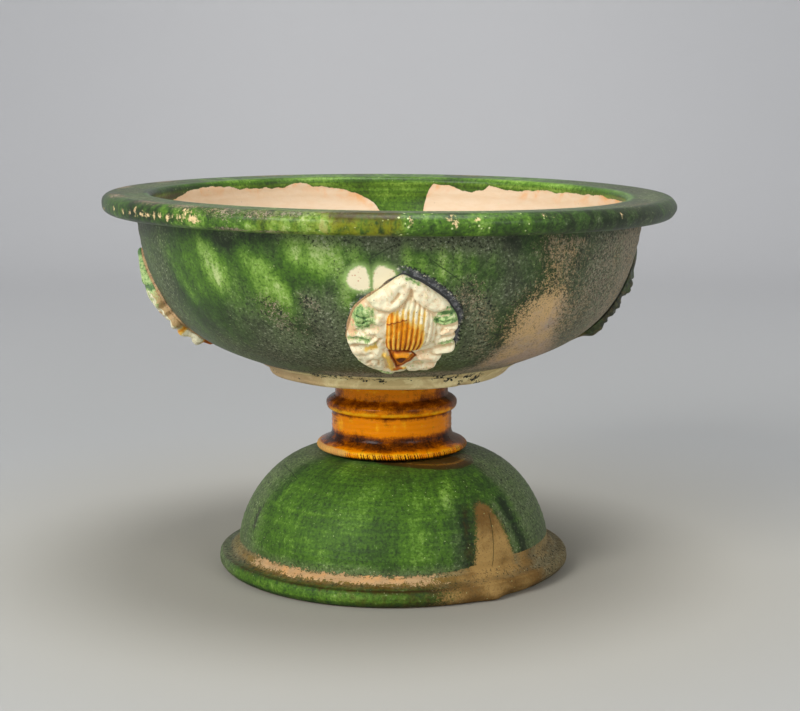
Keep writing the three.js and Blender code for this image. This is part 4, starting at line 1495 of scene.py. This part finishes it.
# Where each glaze was dabbed, from 0 to 1.
amber_fan = span(rib, -0.3, 0.2, 6.8, 8.2) * span(up, -7.4, -6.2, 12.8, 17)
valley = 1 - fade(from_groove, 0.06, 0.34)
amber_fan = amber_fan * (fan_body > 0.1) * (1 - fade(up + 1.3 * rib, 11.5, 17) * (0.86 - 0.36 * valley))
amber_fan = np.maximum(amber_fan, 0.7 * ridge([(6.6, 8.0), (6.4, 2.0)], 1.1, 1.0))
bud_seat = [(-4.6, -6.6), (0.4, -6.4), (5.4, -9.4), (3.8, -13.2), (0.9, -16.2), (-1.6, -17.8), (-3.7, -10.3)]
in_seat = fade(inside(across, up, bud_seat), -0.2, 0.4)
fan_crack = [(-6.0, 7.8), (-3.6, 9.0), (-1.6, 9.4), (1.2, 10.4)]
dabs = {
    "amber": np.maximum.reduce([
        amber_fan,
        bud_mask,
        in_seat,
        ridges([
            ([(-6.6, -8.0), (-5.0, -11.0), (-4.0, -14.8), (-3.6, -18.2)], 1.3, 0.7),
            ([(-13.6, -5.0), (-11.7, -4.6), (-10.1, -3.8)], 1.3, 0.52),
            ([(-2.6, -19.2), (0.8, -18.8)], 1.3, 1.0),
        ]),
    ]),
    "brown": np.maximum.reduce([
        valley * amber_fan * (0.30 + 0.42 * fade(up, 5, -5)),
        bud_line,
        ridge(fan_crack, 0.3, 0.8),
        0.42 * in_seat * (1 - bud_mask),
        2.6 * lens,
        ridge([(-2.4, -18.8), (0.2, -18.2)], 0.8, 0.5),
    ]),
    "green": 0.95 * ridges([
        ([(-16.8, 12.4), (-15.0, 8.4)], 3.2, 1.15),
        ([(-12.8, 13.0), (-12.2, 9.0)], 2.0, 0.7),
        ([(-19.8, 1.4), (-16.7, 1.2), (-13.4, 0.4)], 1.7, 0.62),
        ([(13.4, 9.0), (21.0, 10.0)], 1.9, 0.95),
        ([(13.8, 12.2), (20.6, 12.6)], 1.1, 1.15),
        ([(16.6, 15.2), (19.4, 13.4)], 1.0, 0.6),
        ([(15.4, -1.0), (21.0, -1.2)], 1.8, 0.62),
        ([(1.0, 27.2), (5.6, 25.4)], 1.0, 0.55),
        ([(-17.0, -14.6), (-11.0, -20.4), (-4, -25)], 1.8, 0.8),
        ([(-13.4, -4.4), (-10.6, -3.6)], 1.0, 0.4),
    ]),
    "peach": ridges([
        ([(-16.4, 16.4), (-18.8, 12.7), (-20.0, 10.1), (-20.4, 7.2), (-19.4, 4.2)], 1.9, 1.6),
        ([(-12.6, 5.4), (-8.6, 5.6)], 1.6, 0.55),
        ([(15.0, 4.0), (21, 5.4)], 1.6, 0.5),
        ([(6, -9), (13, -12), (12, -18)], 2.6, 0.5),
        ([(-15, -8), (-12, -13)], 2.6, 0.4),
    ]),
}
# Painted shade, with thick glaze, lies in the hollows: how far each point is below its surroundings.
grid = rise.reshape(len(share), -1)
smoothed = grid.copy()
for _ in range(6):
    smoothed = (smoothed + np.roll(smoothed, 2, 1) + np.roll(smoothed, -2, 1)) / 3
    smoothed[2:-2] = (smoothed[2:-2] + smoothed[:-4] + smoothed[4:]) / 3
hollow = np.clip((smoothed - grid).ravel() / 0.35, 0, 1)
# Painted highlight on the crests: how far each point stands above its surroundings.
crest = np.clip((grid - smoothed).ravel() / 0.28, 0, 1) * (1 - 0.8 * bud_mask)

wall_down = full_wall[::-1]
wall_way = np.gradient(wall_down, axis=0)
wall_way /= np.hypot(wall_way[:, 0], wall_way[:, 1])[:, None]
wall_far = np.concatenate([[0], np.cumsum(np.hypot(*np.diff(wall_down, axis=0).T))])
MEDALLION_DROP = 41.0


def on_bowl(across, up, proud, turn):
    """Points set out on the wall from a medallion's middle, and raised off it."""
    drop = MEDALLION_DROP - up
    radius = np.interp(drop, wall_far, wall_down[:, 0])
    height = np.interp(drop, wall_far, wall_down[:, 1])
    way_in = np.interp(drop, wall_far, wall_way[:, 0])
    way_down = np.interp(drop, wall_far, wall_way[:, 1])
    angle = np.radians(turn) + across / radius
    radius = radius - way_down * proud
    height = height + way_in * proud
    return np.column_stack([radius * np.sin(angle), -radius * np.cos(angle), height])


def dished_faces(rings, steps):
    """Faces of a closed dish: rings from the front's middle round to the back's."""
    ring = 1 + np.arange(rings * steps).reshape(rings, steps)
    return [face[:1] + face[:0:-1] for face in skin(ring, 0, 1 + ring.size)]


def dish(name, turn, front, back_share, back_proud, node):
    """A closed piece on the wall from its front (across, up, proud) and a flat back."""
    across, up, proud = front
    steps = len(mould_edge)
    edge_across, edge_up = across[-steps:], up[-steps:]
    x, y = mould_middle
    across = np.concatenate([[x], across, x + (edge_across - x) * back_share, [x]])
    up = np.concatenate([[y], up, y + (edge_up - y) * back_share, [y]])
    front_middle = proud[:steps].mean()
    proud = np.concatenate([[front_middle], proud, np.full(steps, back_proud), [back_proud]])
    rings = (len(across) - 2) // steps
    points = on_bowl(across, up, proud, turn)
    return new_piece(name, points, dished_faces(rings, steps), node)


def whole(values):
    """Values of the front carried over to the middle, the back ring and its middle."""
    steps = len(mould_edge)
    return np.concatenate([values[:1], values, values[-steps:], values[-1:]])


MEDALLION_CREAM = tone(255, 246, 208)
LEAF_GREEN = tone(120, 160, 88)
DARK_LEAF = tone(58, 98, 54)
AMBER_DAB = tone(240, 154, 10)
AMBER_BROWN = tone(92, 40, 6)
PINK_CLAY = tone(246, 200, 152)
THIN_LEAF = tone(190, 214, 140)
THIN_AMBER = tone(248, 208, 104)
BRIGHT_AMBER = tone(254, 200, 84)
RUNNY_BROWN = tone(190, 96, 4)
RED_DUST = tone(120, 76, 40)


def medallion_glaze(name, ground_colour, dark_colour, clay_colour, green_spread, amber_spread):
    """The glazes of one medallion, with how far the green and amber ones ran."""
    coat = Finish(name, shine=0.4)
    sand = coat.grain(0.5, 4, 0.7)
    smear = coat.grain(3.0, 4, 0.6, twist=0.8)
    clouds = coat.grain(9, 3, 0.5)
    fine = coat.grain(1.4, 3, 0.65)
    warm = coat.times(coat.step(coat.add(smear, coat.sway(fine, 0.7)), 0.43, 0.64), 0.75)
    colour = coat.over(ground_colour, coat.over(ground_colour, clay_colour, 0.6), warm)
    straw_tint = coat.times(coat.step(clouds, 0.52, 0.64), 0.6)
    colour = coat.over(colour, coat.over(ground_colour, LEAF_GREEN, 0.24), straw_tint)
    peach = coat.step(coat.ragged("peach", (smear, 1.0)), 0.2, 0.9)
    colour = coat.over(colour, clay_colour, peach)
    # Painted shade in the hollows of the relief.
    dirt = coat.step(coat.ragged("hollow", (sand, 0.5)), 0.15, 1.1)
    colour = coat.over(colour, dark_colour, coat.times(dirt, 0.6))
    green = coat.add(
        coat.painted("green"),
        coat.sway(smear, 1.2),
        coat.sway(fine, 1.6),
        coat.sway(clouds, 2 * green_spread),
        green_spread,
    )
    colour = coat.over(colour, THIN_LEAF, coat.step(green, 0.15, 0.6))
    veined = coat.math("MAXIMUM", dirt, coat.step(fine, 0.46, 0.62))
    leaf = coat.times(coat.step(green, 0.3, 0.9), coat.add(0.25, coat.times(veined, 0.9)))
    colour = coat.over(colour, LEAF_GREEN, leaf)
    dark_leaf = coat.times(coat.step(green, 0.5, 1.0), coat.add(dirt, coat.step(fine, 0.58, 0.70)))
    colour = coat.over(colour, DARK_LEAF, coat.times(dark_leaf, 0.6))
    amber = coat.ragged("amber", (smear, 0.8), (clouds, 2 * amber_spread))
    amber = coat.add(amber, amber_spread)
    colour = coat.over(colour, THIN_AMBER, coat.step(amber, 0.12, 0.5))
    # Painted highlight on the crests of the relief.
    amber_colour = coat.over(AMBER_DAB, BRIGHT_AMBER, coat.step(coat.painted("crest"), 0.3, 1.1))
    colour = coat.over(colour, amber_colour, coat.step(amber, 0.4, 0.95))
    brown = coat.ragged("brown", (smear, 0.5))
    colour = coat.over(colour, RUNNY_BROWN, coat.step(brown, 0.12, 0.5))
    colour = coat.over(colour, AMBER_BROWN, coat.step(brown, 0.45, 0.95))
    specks = coat.times(coat.step(coat.spots(3.6), 0.10, 0.05), coat.step(clouds, 0.42, 0.5))
    colour = coat.over(colour, BLACKENED, coat.times(specks, 0.6))
    dust = coat.times(coat.step(coat.spots(1.3), 0.22, 0.12), coat.step(smear, 0.45, 0.53))
    colour = coat.over(colour, RED_DUST, coat.times(dust, 0.55))
    coat.bump(sand, 0.14)
    coat.bump(fine, 0.3)
    coat.bump(smear, 0.5)
    return coat.done(colour, coat.between(0.3, 0.5, smear))


bed_draw = np.random.default_rng(111)
from_middle = mould_edge - mould_middle
mould_angle = np.arctan2(from_middle[:, 1], from_middle[:, 0])
bed_spread = 0.55 + 0.5 * np.clip(np.cos(mould_angle - math.radians(38)), 0, 1) ** 1.5
bed_spread = bed_spread - 0.3 * np.clip(-np.sin(mould_angle), 0, 1)
bed_spread = bed_spread + 0.8 * swell(np.degrees(mould_angle), 156, 18)
for _ in range(14):
    bumps = mould_angle * bed_draw.integers(4, 24)
    bed_spread = bed_spread + 0.06 * np.cos(bumps + bed_draw.uniform(0, 6.28))
bed_scale = 1 + bed_spread / np.hypot(*from_middle.T)
bed_edge = mould_middle + from_middle * bed_scale[:, None]
bed_round = 0.86
bed_shares = np.concatenate([[0.3, 0.6], np.linspace(bed_round, 1.0, 14)])
bed_across, bed_up, bed_share_of = spread_out(bed_shares, bed_edge)
bed_proud = -0.3 + 1.1 * rounded_rim(bed_share_of, bed_round)
bed_dark = np.clip(0.1 + 1.1 * np.cos(mould_angle - math.radians(40)), 0, 1)
bed_dark = np.maximum(bed_dark, 0.34 * swell(np.degrees(mould_angle), 128, 16))
bed_dark = np.tile(bed_dark, len(bed_shares))
BED_CLAY = tone(192, 160, 114)
BED_BLACK = tone(44, 46, 44)


def bed_finish(name):
    """Slip squeezed out behind a medallion, with dark glaze caught against it."""
    coat = Finish(name)
    sand = coat.grain(0.45, 4, 0.8)
    grit = coat.grain(1.8, 4, 0.7)
    colour = coat.over(BED_CLAY, tone(170, 130, 90), coat.step(grit, 0.4, 0.65))
    dark = coat.step(coat.ragged("dark", (sand, 1.3), (grit, 1.2)), 0.25, 0.6)
    colour = coat.over(colour, BED_BLACK, dark)
    pale = coat.times(coat.step(sand, 0.6, 0.68), dark)
    colour = coat.over(colour, tone(120, 122, 116), pale)
    coat.bump(sand, 0.2)
    coat.bump(grit, 0.5)
    return coat.done(colour, coat.between(0.8, 0.45, dark))


bed_material = bed_finish("slip_bed")
QUARTER = 90.0
FIRST_TURN = 3.3
# Each side's ground, the painted shade in its hollows and its bare clay, how far green and amber ran, and how
# thick it is.
medallion_coats = [
    ("front", MEDALLION_CREAM, tone(228, 184, 130), PINK_CLAY, 0.0, 0.0, 1.0),
    ("right", tone(46, 50, 34), tone(20, 24, 16), tone(116, 106, 64), -0.3, -0.3, 1.2),
    ("back", tone(240, 222, 178), tone(170, 132, 88), PINK_CLAY, 0.08, 0.1, 0.95),
    ("left", tone(240, 234, 198), tone(96, 98, 56), tone(190, 158, 108), 0.02, -0.1, 1.25),
]
soft_proud = standing(smoothed.ravel())
for i, coat_of_side in enumerate(medallion_coats):
    side, ground_colour, dark_colour, clay_colour, green_spread, amber_spread, thick = coat_of_side
    turn = FIRST_TURN + QUARTER * i
    bed_height = bed_proud
    own_proud = proud
    if side == "left":
        own_proud = 0.3 * proud + 0.7 * soft_proud
        thick = thick * (1 - 0.6 * fade(up, 8, 26))
        bed_height = bed_proud * 1.8
    if side == "right":
        own_proud = 0.5 * proud + 0.5 * soft_proud
        thick = thick * (1 - 0.6 * fade(up, 12, 19))
        notches = 0.36 * swell(up, 6.4, 1.6) + 0.3 * swell(up, -6.6, 1.2)
        thick = thick * (1 - notches - 0.5 * fade(up, -13, -18))
    front = (across, up, MOULD_BACK + (own_proud - MOULD_BACK) * thick)
    piece = dish("pressed_medallion_" + side, turn, front, 0.985, 0.6, "medallion_" + side)
    run_over = {name: amount.copy() for name, amount in dabs.items()}
    run_over["hollow"] = hollow
    bed_soot = bed_dark
    if side == "left":
        notch = swell(up, 12.6, 1.3)
        run_over["green"] = np.maximum(0.42 * fade(up, 12, 15) + 0.6 * fade(up, 24, 26), notch)
        run_over["green"] = run_over["green"] + 0.24 * fade(up, 2, 6)
        # On the left medallion the hollow-shade colour also darkens its top and a notch.
        run_over["hollow"] = np.maximum(hollow, np.maximum(0.9 * fade(up, 24, 26), notch))
        edge_bare = 1.3 * fade(share_of, 0.95, 0.975) * fade(up, -11, -5)
        run_over["peach"] = np.maximum(edge_bare, 0.8 * swell(up, 0.4, 1.6) * (share_of < 0.9))
        run_over["hollow"] = run_over["hollow"] * (0.5 + 0.5 * fade(up, 8, 11))
        run_over["amber"] = np.maximum(swell(up, -9.8, 1.4), fade(up, -19, -21))
        run_over["brown"] = 0.5 * fade(up, -19.5, -22)
        bed_soot = 0.2 * bed_dark
    if side == "right":
        run_over = {name: 0.1 * amount for name, amount in dabs.items()}
        run_over["peach"] = 0.8 * fade(up, -14, -17)
        run_over["hollow"] = hollow
        bed_soot = np.ones(bed_dark.shape)
    for name, amount in run_over.items():
        paint(piece, **{name: whole(amount)})
    paint(piece, crest=whole(crest))
    finish_name = "glazes_on_" + side + "_medallion"
    glaze = medallion_glaze(finish_name, ground_colour, dark_colour, clay_colour, green_spread, amber_spread)
    piece.data.materials.append(glaze)
    bed_front = (bed_across, bed_up, bed_height)
    bed = dish("slip_bed_" + side, turn, bed_front, 0.99, -0.6, "slip_medallion_" + side)
    paint(bed, dark=whole(bed_soot))
    bed.data.materials.append(bed_material)

# Dark glaze has caught on the wall round the medallions, most of all at the upper right.
beside = (bowl.turn - FIRST_TURN + QUARTER / 2) % QUARTER - QUARTER / 2
beside_middle = np.radians(beside) * bowl.radius
above_middle = MEDALLION_DROP - down
gap = -inside(beside_middle, above_middle, mould_edge[::5])
bearing = np.degrees(np.arctan2(above_middle - mould_middle[1], beside_middle))
belt = 0.7 + 0.5 * span(bearing, 96, 110, 130, 150)
belt = belt + 0.9 * span(bearing, -60, -10, 60, 100) + 0.5 * span(bearing, -30, 0, 25, 50)
belt_strength = 0.34 + 0.6 * span(bearing, -40, -5, 76, 96)
belt_strength = belt_strength + 0.22 * span(bearing, 86, 100, 132, 150)
belt_strength = belt_strength + 0.08 * fade(abs(bearing), 140, 160) - 0.2 * fade(bearing, -60, -100)
ring = belt_strength * fade(gap, 6, 4) * (down > 2)
paint(bowl_piece, ring=ring, ring_gap=np.clip(gap - belt - 0.3, -FAR, FAR))

# The slip above and below the stem: thin rings of soft clay, scored into both faces and
# fired hard. Only their edges show, in the grooves between disc, stem and foot.
slip = Finish("fired_slip")
slip_sand = slip.grain(0.6, 4, 0.7)
slip_colour = slip.over(tone(150, 120, 86), tone(92, 74, 52), slip.step(slip.grain(4, 4, 0.6), 0.4, 0.6))
slip.bump(slip_sand, 0.2)
slip_material = slip.done(slip_colour, slip.between(0.75, 0.95, slip_sand))
for name in ("slip_disc_to_stem", "slip_stem_to_foot"):
    for material_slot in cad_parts[name].material_slots:
        material_slot.material = slip_material

# The table and backdrop: one sheet of pale grey paper that curves up all round. Soft boxes
# light it from the front left, more weakly from the right, and from straight overhead. Its
# colour carries painted shading: darker near the bowl and towards the sides, paler far off,
# with a warm painted bounce light round the foot.
paper_radius = 1100.0
paper_bend = 600.0
paper_height = 1900.0
paper_steps = 96
paper_section = np.vstack(
    [
        [[0.0, 0.0]],
        straight((100, 0), (paper_radius, 0), 10),
        roll((paper_radius, paper_bend), paper_bend, -90, 0, 16),
        straight((paper_radius + paper_bend, paper_bend), (paper_radius + paper_bend, paper_height), 4),
    ]
)
paper_sheet = Turned(paper_section, paper_steps)
paper = new_shape("paper", paper_sheet.points(), paper_sheet.faces())
paper_finish = Finish("grey_paper")
far_out = paper_finish.node("VectorMath", {0: paper_finish.place}, operation="LENGTH")
far_out = far_out.outputs["Value"]
sideways = {0: paper_finish.place, 1: (1, 0, 0)}
sideways = paper_finish.node("VectorMath", sideways, operation="DOT_PRODUCT").outputs["Value"]
# Painted shade: the backdrop is darker towards the sides.
aside = paper_finish.step(paper_finish.math("ABSOLUTE", sideways), 0.08, 0.62)
paper_grey = tone(172, 173, 172)
paper_pale = tone(208, 208, 209)
paper_cool = tone(180, 181, 183)
paper_warm = tone(170, 166, 154)
# Painted shading: darker near the bowl and paler far off, the painted side shade, and a warm painted bounce
# light round the foot.
paper_colour = paper_finish.over(paper_grey, paper_pale, paper_finish.step(far_out, 0.3, 1.5))
paper_colour = paper_finish.over(paper_colour, paper_cool, paper_finish.times(aside, 0.5))
paper_colour = paper_finish.over(paper_colour, paper_warm, paper_finish.step(far_out, 0.34, 0.05))
paper.data.materials.append(paper_finish.done(paper_colour, 0.9))

LOOK_AT = Vector((0, 0, 0.08))


def soft_box(name, place, size, power):
    lamp = bpy.data.lights.new(name, "AREA")
    lamp.shape = "DISK"
    lamp.size = size
    lamp.energy = power
    box = bpy.data.objects.new(name, lamp)
    box.location = place
    box.rotation_euler = (LOOK_AT - box.location).to_track_quat("-Z", "Y").to_euler()
    bpy.context.scene.collection.objects.link(box)


soft_box("key_light", (-1.0, -1.15, 0.9), 0.8, 20.0)
soft_box("fill_light", (1.1, -1.2, 0.7), 0.9, 7.5)
soft_box("top_light", (0.12, -0.05, 1.5), 0.7, 11)
world = bpy.data.worlds.new("studio")
bpy.context.scene.world = world
world.use_nodes = True
sky = world.node_tree.nodes["Background"].inputs
sky["Color"].default_value = (0.95, 0.97, 1.0, 1)
sky["Strength"].default_value = 0.36

# The camera stands 0.8 m in front of the bowl's axis and looks slightly down, as the
# photograph does.
camera_data = bpy.data.cameras.new("camera")
camera_data.lens = 81.98
camera_data.sensor_width = 36
camera = bpy.data.objects.new("camera", camera_data)
camera.location = (0.00474, -0.8, 0.2222)
camera.rotation_euler = (math.radians(90 - 9.13), 0, 0)
bpy.context.scene.collection.objects.link(camera)
bpy.context.scene.camera = camera
bpy.context.scene.view_settings.view_transform = "Standard"
